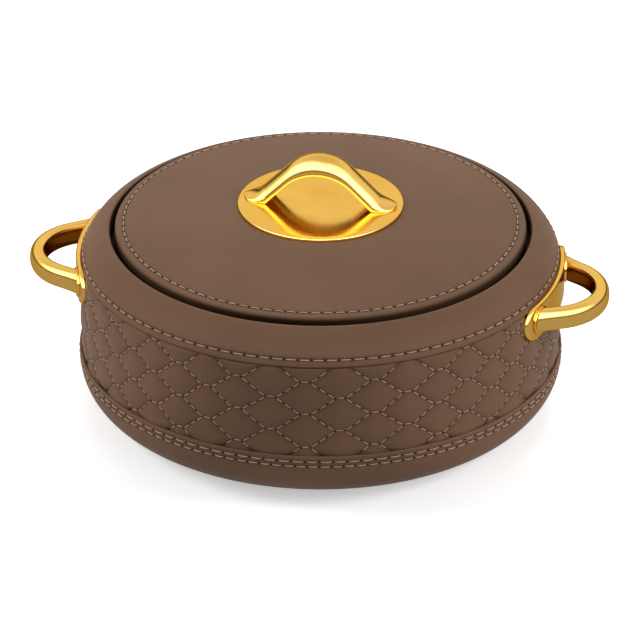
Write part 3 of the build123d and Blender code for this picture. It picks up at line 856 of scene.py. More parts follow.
# ---- stitching -----------------------
@dataclass
class Stitcher:
    """Sews stitches into a draft: arched threads between needle holes.

    Attributes:
        thread: radius of the thread.
        crown: height of a stitch's middle above the leather.
        dive: depth of its ends below the leather.
        squareness: power of its arch, squarer the lower it is.
        tip: share of the thread's radius at its ends.
        hole: radius of a needle hole.
        hole_shape: length and width of a hole as multiples of its radius.
        hole_middle: size of a hole's flat middle as a share of its rim.
        hole_rise: height of its rim and of its middle.
        sides: sides of a thread.
        spans: steps along a thread.
        hole_sides: sides of a hole.
    """

    thread: float = 0.26
    crown: float = 0.16
    dive: float = 0.40
    squareness: float = 0.55
    tip: float = 0.62
    hole: float = 0.62
    hole_shape: Pair = (1.25, 0.62)
    hole_middle: float = 0.6
    hole_rise: Pair = (0.06, 0.10)
    sides: int = 7
    spans: int = 8
    hole_sides: int = 8

    def stitch(self, draft: Draft, start: Array, end: Array, out: Array,
               bow: Array | None = None) -> None:
        """Adds one thread.

        Args:
            draft: where it goes.
            start: middle of its first hole, on the leather.
            end: middle of its last hole.
            out: outward direction of the leather there.
            bow: sideways offset of its middle, none when left out.
        """
        along = end - start
        along = along / np.linalg.norm(along)
        side = np.cross(out, along)
        share = np.linspace(0.0, 1.0, self.spans + 1)
        arch = np.sin(math.pi * share) ** self.squareness
        centre = start + (end - start) * share[:, None]
        centre = centre + out * (arch * (self.crown + self.dive) - self.dive)[:, None]
        if bow is not None:
            centre = centre + bow * (4 * share * (1 - share))[:, None]
        radius = self.thread * (self.tip + (1 - self.tip) * arch)
        turn = np.arange(self.sides) * TAU / self.sides
        ring = np.cos(turn)[:, None] * side + np.sin(turn)[:, None] * out
        points = centre[:, None, :] + ring[None, :, :] * radius[:, None, None]
        draft.add(points, grid_faces(self.spans + 1, self.sides, False, True))

    def puncture(self, draft: Draft, place: Array, along: Array, out: Array,
                 size: float = 1.0) -> None:
        """Adds one needle hole: a dark oval on the leather, a painted shadow of the hole.

        Args:
            draft: where it goes.
            place: its middle, on the leather.
            along: direction of the seam.
            out: outward direction of the leather there.
            size: its size as a multiple of the usual one.
        """
        count = self.hole_sides
        long, wide = self.hole_shape
        turn = np.arange(count) * TAU / count
        oval = np.cos(turn)[:, None] * along * long + np.sin(turn)[:, None] * np.cross(out, along) * wide
        oval = oval * self.hole * size
        rim, middle = (place + out * rise for rise in self.hole_rise)
        points = np.concatenate([rim + oval, middle + oval * self.hole_middle, middle[None]])
        faces = [(n, (n + 1) % count, count + (n + 1) % count, count + n) for n in range(count)]
        faces += [(count + n, count + (n + 1) % count, 2 * count) for n in range(count)]
        # Painted shadow: the dark oval in the hole finish stands for the shade inside the hole.
        draft.add(points, faces, SECOND_FINISH)


@dataclass(frozen=True)
class StitchRing:
    """One row of stitches round the casserole.

    Attributes:
        radius: radius of the row.
        z: its height.
        count: number of stitches.
        lean: outward direction of the leather in degrees above the horizontal.
        share: length of a thread as a share of its pitch.
        hole_pull: depth that a hole adds, as a share of the row's depth.
        hole_reach: how far a hole pulls, as a multiple of the groove's half-width.
    """

    radius: float
    z: float
    count: int
    lean: float
    share: float = 0.76
    hole_pull: float = 0.8
    hole_reach: float = 1.7

    def sew(self, draft: Draft, stitcher: Stitcher) -> None:
        """Adds the row's threads and holes to a draft.

        Args:
            draft: where it goes.
            stitcher: what sews it.
        """
        rise = math.radians(self.lean)
        pitch = TAU / self.count
        for number in range(self.count):
            middle = (number + 0.5) * pitch
            ends = [middle - pitch * self.share / 2, middle + pitch * self.share / 2]
            start, end = (self.place(angle) for angle in ends)
            out = self.outward(middle, rise)
            stitcher.stitch(draft, start, end, out)
            hole = number * pitch
            along = np.array((-math.sin(hole), math.cos(hole), 0))
            stitcher.puncture(draft, self.place(hole), along, self.outward(hole, rise))

    def place(self, angle: float) -> Array:
        """Point of the row at an angle round the casserole."""
        return self.radius * np.array((math.cos(angle), math.sin(angle), 0)) + UP * self.z

    @staticmethod
    def outward(angle: float, rise: float) -> Array:
        """Outward direction of the leather at an angle round the casserole."""
        level = math.cos(rise)
        return np.array((math.cos(angle) * level, math.sin(angle) * level, math.sin(rise)))

    def pucker(self, angle: Array, distance: Array, depth: float, width: float) -> Array:
        """How far the row pulls the leather in.

        Args:
            angle: angles round the casserole.
            distance: distance across the row of each point.
            depth: depth of the row between its holes.
            width: half-width of the groove.

        Returns:
            Depth at each pair of angle and distance, angles first.
        """
        holes = 0.5 + 0.5 * np.cos(angle * self.count)
        across = np.exp(-((distance / width) ** 2))
        near = np.exp(-((distance / (width * self.hole_reach)) ** 2))
        return depth * (across[None, :] + self.hole_pull * (holes**3)[:, None] * near[None, :])


# ---- leather covers ------------------
@dataclass
class TurnedCover:
    """Leather cover turned about Z, with stitch rows pressed into its outside.

    Attributes:
        name: the piece's name.
        outline: its closed section, counter-clockwise.
        rows: stitch rows in it.
        turns: steps round.
        node: CAD node that it stands for.
        body: CAD body that it rides on.
        depth: depth of a stitch row.
        width: half-width of a stitch row's groove.
        shadow: painted shade in the groove.
        gap: radii between which it lines the gap round the lid.
        gap_top: height below which the gap is in shadow.
        gap_fade: height over which that shadow deepens.
    """

    name: str
    outline: Array
    rows: Sequence[StitchRing]
    turns: int
    node: str
    body: str
    depth: float = 0.32
    width: float = 0.75
    shadow: float = 0.35
    gap: Pair = (109.0, 113.2)
    gap_top: float = 102.6
    gap_fade: float = 2.4

    def build(self, finishes: Finishes) -> None:
        """Makes the cover.

        Args:
            finishes: the finishes.
        """
        grid, faces = revolve(self.outline, self.turns)
        angle = np.arange(self.turns) * TAU / self.turns
        shade = np.zeros(grid.shape[:2])
        for row in self.rows:
            offset = self.outline - np.array((row.radius, row.z))
            distance = np.linalg.norm(offset, axis=1)
            pull = row.pucker(angle, distance, self.depth, self.width)
            rise = math.radians(row.lean)
            out = np.stack([StitchRing.outward(a, rise) for a in angle])
            grid -= pull[..., None] * out[:, None, :]
            # Painted shade in the stitch grooves.
            shade = np.maximum(shade, np.clip(pull / self.depth, 0, 1) * self.shadow)
        radius, z = self.outline[:, 0], self.outline[:, 1]
        # Painted shade on the leather lining the gap round the lid, deepening downwards.
        lining = (radius > self.gap[0]) & (radius < self.gap[1])
        sunk = np.where(lining, smoothstep((self.gap_top - z) / self.gap_fade), 0.0)
        shade = np.maximum(shade, sunk[None, :])
        draft = Draft()
        draft.add(grid, faces, 0, shade)
        piece = draft.build(self.name, [finishes.leather], self.body, Slot.LEATHER)
        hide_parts(self.node)


@dataclass
class StitchRows:
    """The threads of one or more stitch rings, as one piece."""

    name: str
    rows: Sequence[StitchRing]
    node: str
    body: str
    stitcher: Stitcher = field(default_factory=Stitcher)

    def build(self, finishes: Finishes) -> None:
        """Makes the threads and their needle holes.

        Args:
            finishes: the finishes.
        """
        draft = Draft()
        for row in self.rows:
            row.sew(draft, self.stitcher)
        piece = draft.build(self.name, [finishes.thread, finishes.hole], self.body, Slot.THREAD)
        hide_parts(self.node)


@dataclass
class Shoulder:
    """Leather over the rounded shoulder, rolled into the lid opening.

    Attributes:
        sizes: the body's sizes.
        stitch_rise: height of the stitch row above the hem.
        stitches: number of stitches round it.
        clearance: gap between the leather's rolled-in end and the bowl's flange.
        bend_step: longest stretch of the rounding.
        roll_step: longest stretch of the roll into the opening.
        step: longest stretch elsewhere.
    """

    sizes: BodySizes = SIZES
    stitch_rise: float = 3.5
    stitches: int = 114
    clearance: float = 0.5
    bend_step: float = 0.45
    roll_step: float = 0.35
    step: float = 0.8

    def row(self) -> StitchRing:
        """Its stitch row above the hem.

        Returns:
            The row.
        """
        z = self.sizes.hem + self.stitch_rise
        radius = self.sizes.shoulder_radius(z)
        centre = self.sizes.wall - self.sizes.edge, self.sizes.top - self.sizes.edge
        lean = math.degrees(math.atan2(z - centre[1], radius - centre[0]))
        return StitchRing(radius, z, self.stitches, lean)

    def outline(self) -> Array:
        """Closed section of the leather.

        Returns:
            (radius, height) of its points.
        """
        s = self.sizes
        centre = (s.wall - s.edge, s.top - s.edge)
        skins = []
        for inset in (0.0, s.leather):
            radius, mouth = s.edge - inset, s.mouth + inset
            rounding = max(s.mouth_rounding - inset, LEAST_ROUNDING)
            across = mouth + rounding - centre[0]
            roll = (mouth + rounding, centre[1] + math.sqrt((radius - rounding) ** 2 - across**2))
            touch = math.degrees(math.atan2(roll[1] - centre[1], across))
            start = math.degrees(math.asin((s.hem - centre[1]) / radius))
            bend = arc(centre, radius, start, touch, self.bend_step)
            turn = arc(roll, rounding, touch, 180, self.roll_step)
            skins.append(np.concatenate((bend, turn[1:], [(mouth, s.flange_top + self.clearance)])))
        return np.concatenate((skins[0], skins[1][::-1]))

    def build(self, finishes: Finishes) -> None:
        """Makes the leather and its stitches.

        Args:
            finishes: the finishes.
        """
        row = self.row()
        outline, turns = denser(self.outline(), self.step), self.stitches * STEPS_A_STITCH
        TurnedCover("shoulder_cover", outline, [row], turns, "shoulder_leather", BODY).build(finishes)
        StitchRows("shoulder_stitches", [row], "shoulder_stitching", BODY).build(finishes)


@dataclass
class BottomBand:
    """Plain leather round the bottom edge, folded at its top and turned under the base.

    Attributes:
        sizes: the body's sizes.
        thickness: thickness of the leather.
        hem: radius of its edge under the base.
        fold: rounding of its folded edge as a share of its thickness.
        rows_up: heights of its two stitch rows.
        counts: stitches in each row.
        turns: steps round.
        arc_step: largest turn in a rounding, in degrees.
        step: longest stretch elsewhere.
    """

    sizes: BodySizes = SIZES
    thickness: float = 1.5
    hem: float = 96.5
    fold: float = 0.48
    rows_up: Pair = (26.3, 29.1)
    counts: tuple[int, int] = (130, 112)
    turns: int = 1040
    arc_step: float = 2.5
    step: float = 0.7

    def build(self, finishes: Finishes) -> None:
        """Makes the leather and its two stitch rows.

        Args:
            finishes: the finishes.
        """
        s = self.sizes
        inside = s.band - self.thickness
        fold = self.thickness * self.fold
        corners = [
            (self.hem, s.base),
            (s.band, s.base, s.edge),
            (s.band, s.band_top, fold),
            (inside, s.band_top, fold),
            (inside, s.base + self.thickness, s.edge - self.thickness),
            (self.hem, s.base + self.thickness),
        ]
        outline = denser(rounded(corners, self.arc_step), self.step)
        rows = [StitchRing(s.band, z, count, 0.0) for z, count in zip(self.rows_up, self.counts)]
        TurnedCover("band_cover", outline, rows, self.turns, "bottom_band", BODY).build(finishes)
        StitchRows("band_stitches", rows, "band_stitching", BODY).build(finishes)


@dataclass
class QuiltedWall:
    """Quilted panel round the wall: stretched six-sided puffs between sewn zigzag seams.

    Attributes:
        columns: number of seam crossings round the wall, an even number.
        first_angle: angle of the first column in degrees.
        pitch: height of a puff at the front.
        pitch_loss: how much less it is at the sides.
        crossing: height of a crossing on the first column.
        sag: how much lower the crossings run at the sides.
        sag_angles: degrees from front or back between which they sink.
        drift: (degrees from the first column, shift in degrees) of the columns.
        flat: half-length of a crossing's level stitch.
        bow: rise of that stitch's middle.
        dip: how deep a seam lies below the panel's mean surface.
        pinch: width and height of the steep rise beside a seam.
        dome: width and height of the puff's crown.
        seam_shade: painted shade at a seam, and how far it reaches.
        puff_shade: painted shade round it, and how far it reaches.
        hem_reach: height over which the panel tucks in under the shoulder's hem.
        hem_depth: how far it tucks in.
        margins: how far the seams stay from the band's top and from the hem.
        seam_lift: height of a thread's ends above the bottom of its seam.
        edge_stitches: stitches along one slanting edge of a puff.
        edge_gap: part of a slanting stitch's pitch left free at each end.
        level_gap: part of a level stitch left free at each end.
        level_hole: size of its needle holes.
        steps: steps from one column to the next.
        rows: steps from the band up to the hem.
        laps: how far its outside runs on under the band and under the hem.
        tuck: height of the panel's edge under the band.
        lap: height of its edge under the shoulder.
        clearance: gap between it and the shoulder's leather.
        jitter: unevenness of the crossings.
        levels: rows of crossings, counted from the first column's middle.
        seed: seed of that unevenness.
    """

    sizes: BodySizes = SIZES
    columns: int = 46
    first_angle: float = -83.5
    pitch: float = 19.2
    pitch_loss: float = 1.6
    crossing: float = 55.8
    sag: float = 8.5
    sag_angles: Pair = (18.0, 80.0)
    drift: tuple[Pair, ...] = (
        (-125, 0.0), (-66, 3.0), (-55, 1.9), (-47, 1.1), (-39, 0.2), (-16, -0.5),
        (0, 0.0), (16, 0.45), (31, 0.7), (47, 0.4), (63, 0.0),
    )
    flat: float = 2.6
    bow: float = 0.55
    dip: float = 0.62
    pinch: Pair = (0.85, 0.72)
    dome: Pair = (4.6, 0.62)
    seam_shade: Pair = (0.5, 0.8)
    puff_shade: Pair = (0.10, 3.0)
    hem_reach: float = 1.4
    hem_depth: float = 1.0
    margins: Pair = (0.3, 0.9)
    seam_lift: float = 0.12
    edge_stitches: int = 3
    edge_gap: float = 0.12
    level_gap: float = 0.1
    level_hole: float = 1.2
    steps: int = 40
    rows: int = 124
    laps: Pair = (2.5, 1.2)
    tuck: float = 23.2
    lap: float = 90.3
    clearance: float = 0.1
    jitter: float = 0.22
    levels: range = range(-2, 4)
    seed: int = 11

    def __post_init__(self) -> None:
        """Places the crossings, with the small unevenness of hand-guided sewing."""
        self.random = np.random.default_rng(self.seed)
        self.spacing = TAU * self.sizes.quilt / self.columns
        self.crossings = {}
        angles, shifts = zip(*self.drift)
        for column in range(self.columns):
            angle = (column * 360 / self.columns + 180) % 360 - 180
            away = min(abs(angle), 180 - abs(angle))
            start, end = self.sag_angles
            sunk = float(smoothstep((away - start) / (end - start)))
            middle = self.crossing - self.sag * sunk
            pitch = self.pitch - self.pitch_loss * sunk
            run = math.radians(float(np.interp(angle, angles, shifts))) * self.sizes.quilt
            for level in self.levels:
                z = middle + (level + (0.5 if column % 2 else 0.0)) * pitch
                shift = self.random.uniform(-self.jitter, self.jitter, 2)
                self.crossings[column, level] = np.array((run + shift[0], z + shift[1]))

    def crossing_at(self, column: int, level: int) -> Array | None:
        """(run, height) of a crossing, run measured round the wall from the first column.

        Args:
            column: number of the column.
            level: number of the crossing on its column.

        Returns:
            The crossing, none where there is no such level.
        """
        found = self.crossings.get((column % self.columns, level))
        if found is None:
            return None
        return found + np.array((column * self.spacing, 0.0))

    def seams_near(self, column: int) -> list[tuple[Array, Array]]:
        """Straight stretches of seam round one column, as (start, end) pairs.

        Args:
            column: number of the column.

        Returns:
            The stretches.
        """
        stretches = []
        for near in (column - 1, column, column + 1, column + 2):
            for level in self.levels:
                here = self.crossing_at(near, level)
                stretches += self.level_stretches(here)
                for other in self.neighbours(near, level):
                    stretches.append((here + (self.flat, 0), other - (self.flat, 0)))
        return stretches

    def level_stretches(self, here: Array) -> list[tuple[Array, Array]]:
        """The bowed level stitch of a crossing as four straight stretches.

        Args:
            here: the crossing.

        Returns:
            (start, end) of each stretch.
        """
        share = np.linspace(-1, 1, 5)
        line = here + np.stack((share * self.flat, self.bow * (1 - share**2)), 1)
        return list(zip(line[:-1], line[1:]))

    def neighbours(self, column: int, level: int) -> list[Array]:
        """The crossings of the next column that a crossing is sewn to.

        Args:
            column: number of the column.
            level: number of the crossing on its column.

        Returns:
            The crossings.
        """
        levels = (level, level + 1) if column % 2 else (level - 1, level)
        found = [self.crossing_at(column + 1, other) for other in levels]
        return [other for other in found if other is not None]

    def base_radius(self, z: Array) -> Array:
        """Radius of the panel's mean surface at each height.

        Args:
            z: the heights.

        Returns:
            The radii.
        """
        step = self.sizes.wall - self.sizes.quilt
        rise = np.maximum(z - (self.sizes.top - self.sizes.edge), 0)
        centre = self.sizes.wall - self.sizes.edge
        return centre + np.sqrt((self.sizes.edge - step) ** 2 - rise**2)

    def relief(self, run: Array, z: Array, column: int) -> tuple[Array, Array]:
        """Height of the leather over its mean surface, and its distance from the nearest seam.

        Args:
            run: runs round the wall from the first column.
            z: the heights.
            column: number of the column.

        Returns:
            Heights and distances, shaped as run is.
        """
        places = np.stack((run, z), -1).reshape(-1, 2)
        nearest = np.full(len(places), np.inf)
        for start, end in self.seams_near(column):
            span = end - start
            share = np.clip(((places - start) @ span) / (span @ span), 0, 1)
            nearest = np.minimum(nearest, np.linalg.norm(places - start - share[:, None] * span, axis=1))
        pinch = 1 - np.exp(-nearest / self.pinch[0])
        dome = 1 - np.exp(-((nearest / self.dome[0]) ** 2))
        height = -self.dip + self.pinch[1] * pinch + self.dome[1] * dome
        return height.reshape(run.shape), nearest.reshape(run.shape)

    def grid(self) -> tuple[Array, Array]:
        """Points and painted shade of the panel's outside.

        Returns:
            The points and the painted shade.
        """
        low, high = self.sizes.band_top - self.laps[0], self.sizes.hem + self.laps[1]
        z = np.linspace(low, high, self.rows)
        points = np.empty((self.columns * self.steps, self.rows, 3))
        shade = np.empty(points.shape[:2])
        base = self.base_radius(z)
        shades = (self.seam_shade, self.puff_shade)
        for column in range(self.columns):
            run = (column + np.arange(self.steps) / self.steps) * self.spacing
            runs, heights = np.meshgrid(run, z, indexing="ij")
            rise, nearest = self.relief(runs, heights, column)
            tucked = smoothstep((heights - self.sizes.hem + self.hem_reach) / self.hem_reach)
            radius = base[None, :] + rise * (1 - tucked) - tucked * self.hem_depth
            angle = np.radians(self.first_angle) + run / self.sizes.quilt
            rows = slice(column * self.steps, (column + 1) * self.steps)
            points[rows, :, 0] = radius * np.cos(angle)[:, None]
            points[rows, :, 1] = radius * np.sin(angle)[:, None]
            points[rows, :, 2] = heights
            # Painted shade: darker at the seams, fading out over the puffs.
            shade[rows] = sum(depth * np.exp(-nearest / reach) for depth, reach in shades)
        return points, shade

    def backing(self) -> list[Pair]:
        """(radius, height) of the panel's back, from its tuck under the shoulder down to the band.

        Returns:
            The points.
        """
        s = self.sizes
        outside, inside = s.leather + self.clearance, s.leather * 2 + self.clearance
        edge = s.quilt - self.clearance / 2
        back = [(s.shoulder_radius(z, outside), z) for z in (s.hem + 2.5, s.hem + 4.5, self.lap)]
        back += [(s.shoulder_radius(z, inside), z) for z in (self.lap, s.hem + 3.0, s.hem)]
        for z in (s.hem - 1.5, s.hem - 5, 50, self.tuck):
            back.append((float(self.base_radius(np.array(z))) - s.leather, z))
        return back + [(edge, self.tuck), (edge, s.band_top - 3.2)]

    def build(self, finishes: Finishes) -> None:
        """Makes the panel and its stitches.

        Args:
            finishes: the finishes.
        """
        front, shade = self.grid()
        back, _ = revolve(np.array(self.backing()), self.columns * self.steps)
        turn = math.radians(self.first_angle)
        c, s = math.cos(turn), math.sin(turn)
        spun = back.copy()
        spun[..., 0] = c * back[..., 0] - s * back[..., 1]
        spun[..., 1] = s * back[..., 0] + c * back[..., 1]
        points = np.concatenate((front, spun), 1)
        dark = np.concatenate((shade, np.zeros(spun.shape[:2])), 1)
        draft = Draft()
        draft.add(points, grid_faces(*points.shape[:2], True, True), 0, dark)
        panel = draft.build("quilted_panel", [finishes.leather], BODY, Slot.QUILTED)
        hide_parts("quilted_wall")
        self.sew(finishes)

    def place(self, spot: Array, lift: float) -> tuple[Array, Array]:
        """Point on the wall at a (run, height), lifted off the mean surface, and its outward direction.

        Args:
            spot: run and height of the point.
            lift: how far it lies off the mean surface.

        Returns:
            The point and the direction.
        """
        angle = math.radians(self.first_angle) + spot[0] / self.sizes.quilt
        radius = float(self.base_radius(np.array(spot[1]))) + lift
        out = np.array((math.cos(angle), math.sin(angle), 0.0))
        return out * radius + UP * spot[1], out

    def sew(self, finishes: Finishes) -> None:
        """Sews the seams.

        Args:
            finishes: the finishes.
        """
        draft, stitcher = Draft(), Stitcher(thread=0.22, crown=0.26, dive=0.30, hole=0.44)
        low, high = self.sizes.band_top + self.margins[0], self.sizes.hem - self.margins[1]
        lift = self.seam_lift - self.dip

        def inside(*heights: float) -> bool:
            """Whether all of the heights are on the part of the panel that shows."""
            return all(low < height < high for height in heights)

        for column in range(self.columns):
            for level in self.levels:
                here = self.crossing_at(column, level)
                left, right = here - (self.flat, 0), here + (self.flat, 0)
                if inside(here[1]):
                    (start, out), (end, _) = self.place(left, lift), self.place(right, lift)
                    free = (end - start) * self.level_gap
                    stitcher.stitch(draft, start + free, end - free, out, UP * self.bow)
                    for end_spot in (left, right):
                        spot, out = self.place(end_spot, lift)
                        stitcher.puncture(draft, spot, np.cross(UP, out), out, self.level_hole)
                for other in self.neighbours(column, level):
                    self.sew_edge(draft, stitcher, right, other - (self.flat, 0), lift, inside)
        draft.build("quilting_stitches", [finishes.thread, finishes.hole], BODY, Slot.THREAD)
        LOG.info("quilting has %d crossings round the wall", self.columns)

    def sew_edge(self, draft: Draft, stitcher: Stitcher, start: Array, end: Array,
                 lift: float, inside: Callable[..., bool]) -> None:
        """Sews one slanting edge of a puff."""
        count = self.edge_stitches
        for number in range(count):
            first = start + (end - start) * ((number + self.edge_gap) / count)
            last = start + (end - start) * ((number + 1 - self.edge_gap) / count)
            if not inside(first[1], last[1]):
                continue
            (a, out), (b, _) = self.place(first, lift), self.place(last, lift)
            stitcher.stitch(draft, a, b, out)
            if number:
                spot, out = self.place(start + (end - start) * (number / count), lift)
                along = (b - a) / np.linalg.norm(b - a)
                stitcher.puncture(draft, spot, along, out)


# ---- lid -----------------------------
@dataclass
class LidCover:
    """Leather over the gently domed lid, rolled over its edge.

    Attributes:
        radius: radius of the lid.
        rounding: rounding of its edge.
        rim: height of the leather's lower edge.
        dome: radius of the dome's sphere.
        dome_centre: height of that sphere's centre.
        land: height of the flat land under the plate.
        leather: thickness of the leather.
        stitch_radius: radius of the stitch row.
        stitches: number of stitches round it.
        edge_step: longest stretch of the edge's rounding.
        crown_step: longest stretch of the dome.
        top_step: longest stretch elsewhere on the outside.
        back_step: longest straight stretch on the inside.
    """

    radius: float = 110.2
    rounding: float = 2.4
    rim: float = 90.8
    dome: float = 492.0
    dome_centre: float = -377.456
    land: float = 112.436
    leather: float = 1.4
    stitch_radius: float = 105.5
    stitches: int = 104
    edge_step: float = 0.35
    crown_step: float = 0.6
    top_step: float = 1.2
    back_step: float = 6.0

    def row(self) -> StitchRing:
        """The stitch row near its edge.

        Returns:
            The row.
        """
        z = self.dome_centre + math.sqrt(self.dome**2 - self.stitch_radius**2)
        lean = 90 - math.degrees(math.asin(self.stitch_radius / self.dome))
        return StitchRing(self.stitch_radius, z, self.stitches, lean)

    def skin(self, inset: float) -> Array:
        """Open section of the lid's outside, set in by inset, from the rim to the middle.

        Args:
            inset: how far the section is set in.

        Returns:
            (radius, height) of its points.
        """
        sphere, wall = self.dome - inset, self.radius - inset
        rounding = max(self.rounding - inset, LEAST_ROUNDING)
        across = wall - rounding
        roll = (across, self.dome_centre + math.sqrt((sphere - rounding) ** 2 - across**2))
        touch = math.degrees(math.atan2(roll[1] - self.dome_centre, across))
        edge = arc(roll, rounding, 0, touch, self.edge_step)
        land = self.land - inset
        flat_angle = math.degrees(math.acos(math.sqrt(sphere**2 - (land - self.dome_centre) ** 2) / sphere))
        crown = arc((0, self.dome_centre), sphere, touch, flat_angle, self.crown_step)
        return np.concatenate(([(wall, self.rim)], edge, crown[1:], [(LEAST_ROUNDING, land)]))

    def build(self, finishes: Finishes) -> None:
        """Makes the leather and its stitches.

        Args:
            finishes: the finishes.
        """
        outside = denser(self.skin(0), self.top_step, False)
        inside = denser(self.skin(self.leather), self.back_step, False)
        outline, turns = np.concatenate((outside, inside[::-1])), self.stitches * STEPS_A_STITCH
        row = self.row()
        TurnedCover("lid_cover", outline, [row], turns, "lid_leather", LID).build(finishes)
        StitchRows("lid_stitches", [row], "lid_stitching", LID).build(finishes)


@dataclass
class Pull:
    """Polished plate with the arched pull on it.

    Attributes:
        land: height of the lid under the plate.
        plate_radius: radius of the plate.
        plate: plate's thickness.
        plate_edges: rounding of its lower and its upper edge.
        plate_turns: steps round it.
        plate_turn: largest turn in its roundings, in degrees.
        plate_step: longest stretch of its section.
        width: half-width of the arch.
        top_rise: height of the arch's crown above the plate.
        top_radius: radius of the crown's outside.
        slope: slope of its limbs in degrees.
        flare_radius: radius in which a limb flares into its toe.
        lip: thickness of the toe.
        gap_rise: height of the finger gap.
        gap_radius: radius of the gap's crown.
        gap_half: half of the gap's length.
        steps: points from the crown to a toe.
        ring: points over the arch from side to side.
        roundness: power of the arch's section, squarer the lower it is.
        bevel: share of its thickness taken by the rounded lower edge.
        lower_edge: (side, share of the bevel) of the points round that edge.
        step: longest stretch drawn as one, along a crown.
        flare_step: the same along a flare.
    """

    land: float = 112.436
    plate_radius: float = 44.5
    plate: float = 1.8
    plate_edges: Pair = (0.25, 0.85)
    plate_turns: int = 256
    plate_turn: float = 9.0
    plate_step: float = 2.5
    width: float = 8.5
    top_rise: float = 28.0
    top_radius: float = 23.4
    slope: float = 45.0
    flare_radius: float = 13.0
    lip: float = 1.8
    gap_rise: float = 18.5
    gap_radius: float = 25.0
    gap_half: float = 28.5
    steps: int = 110
    ring: int = 40
    roundness: float = 0.92
    bevel: float = 0.07
    lower_edge: tuple[Pair, ...] = ((0.0, 0.0), (0.955, 0.0), (0.99, 0.35))
    step: float = 0.4
    flare_step: float = 0.3

    def outside(self) -> Array:
        """(across, up) points of the arch's outside in side view, from the crown to the toe.

        Returns:
            The points.
        """
        slope = math.radians(self.slope)
        crown = arc((0, self.top_rise - self.top_radius), self.top_radius, 90, 90 - self.slope, self.step)
        end = crown[-1]
        flare_z = self.lip + self.flare_radius * (1 - math.cos(slope))
        start_x = end[0] + (end[1] - flare_z) / math.tan(slope)
        toe = start_x + self.flare_radius * math.sin(slope)
        centre = (toe, self.lip + self.flare_radius)
        flare = arc(centre, self.flare_radius, 270 - self.slope, 270, self.flare_step)
        return self.spread(np.concatenate((crown, flare)), self.steps)

    def inside(self, toe: float) -> Array:
        """(across, up) points of the arch's underside, from its crown along the plate to the toe.

        Args:
            toe: where the toe ends.

        Returns:
            The points.
        """
        sink = self.gap_radius - self.gap_rise
        slope = math.asin(self.gap_radius / math.hypot(self.gap_half, sink))
        slope -= math.atan2(sink, self.gap_half)
        crown = arc((0, -sink), self.gap_radius, 90, 90 - math.degrees(slope), self.step)
        return self.spread(np.concatenate((crown, [(self.gap_half, 0.0), (toe, -0.1)])), self.steps)

    @staticmethod
    def spread(line: Array, count: int) -> Array:
        """A line's points spaced evenly along it.

        Args:
            line: the line.
            count: number of points.

        Returns:
            The new points.
        """
        lengths = np.concatenate(([0.0], np.cumsum(np.linalg.norm(np.diff(line, axis=0), axis=1))))
        wanted = np.linspace(0, lengths[-1], count)
        return np.stack((np.interp(wanted, lengths, line[:, 0]), np.interp(wanted, lengths, line[:, 1])), 1)

    def half_width(self, across: Array, toe: float) -> Array:
        """Half-width of the arch in plan: full, then round at the toe."""
        beyond = np.clip((np.abs(across) - (toe - self.width)) / self.width, 0, 1)
        return self.width * np.sqrt(np.maximum(1 - beyond**2, 0.0))

    def arch(self, finishes: Finishes) -> None:
        """Makes the arch.

        Args:
            finishes: the finishes.
        """
        upper = self.outside()
        toe = float(upper[-1, 0])
        lower = self.inside(toe)
        upper = np.concatenate((upper[:0:-1] * (-1, 1), upper))
        lower = np.concatenate((lower[:0:-1] * (-1, 1), lower))
        swing = np.linspace(0, math.pi, self.ring)
        edge = np.array(self.lower_edge) * (1, self.bevel)
        over = self.bevel + (1 - self.bevel) * np.sin(swing) ** self.roundness
        share = np.concatenate((edge[:, 1], over, edge[::-1, 1]))
        side = np.concatenate((edge[:, 0], np.cos(swing), -edge[::-1, 0]))
        across = lower[:, None, 0] + (upper - lower)[:, None, 0] * share
        up = lower[:, None, 1] + (upper - lower)[:, None, 1] * share
        points = np.stack((across, self.half_width(across, toe) * side, up + self.land + self.plate), -1)
        draft = Draft()
        rows, columns = points.shape[:2]
        faces = np.array(grid_faces(rows, columns, False, True))
        # Painted shade: the underside faces take the darker gold.
        under = faces.max(1) % columns >= columns - 2
        draft.add(points, faces[~under])
        draft.add(points, faces[under], SECOND_FINISH)
        piece = draft.build("pull_arch_piece", [finishes.gold, finishes.gold_painted_shade], LID, Slot.GOLD)
        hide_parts("pull_arch")

    def build(self, finishes: Finishes) -> None:
        """Makes the plate and the arch.

        Args:
            finishes: the finishes.
        """
        top = self.land + self.plate
        lower, upper = self.plate_edges
        corners = [
            (0.0, self.land),
            (self.plate_radius, self.land, lower),
            (self.plate_radius, top, upper),
            (0.0, top),
        ]
        outline = denser(rounded(corners, self.plate_turn), self.plate_step, False)
        grid, faces = revolve(outline, self.plate_turns, False)
        draft = Draft()
        draft.add(grid, faces)
        piece = draft.build("pull_plate_piece", [finishes.gold], LID, Slot.GOLD)
        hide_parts("pull_plate")
        self.arch(finishes)


# ---- side handles --------------------
class Side(Enum):
    """Which side of the casserole a handle is on."""

    RIGHT = 1
    LEFT = -1


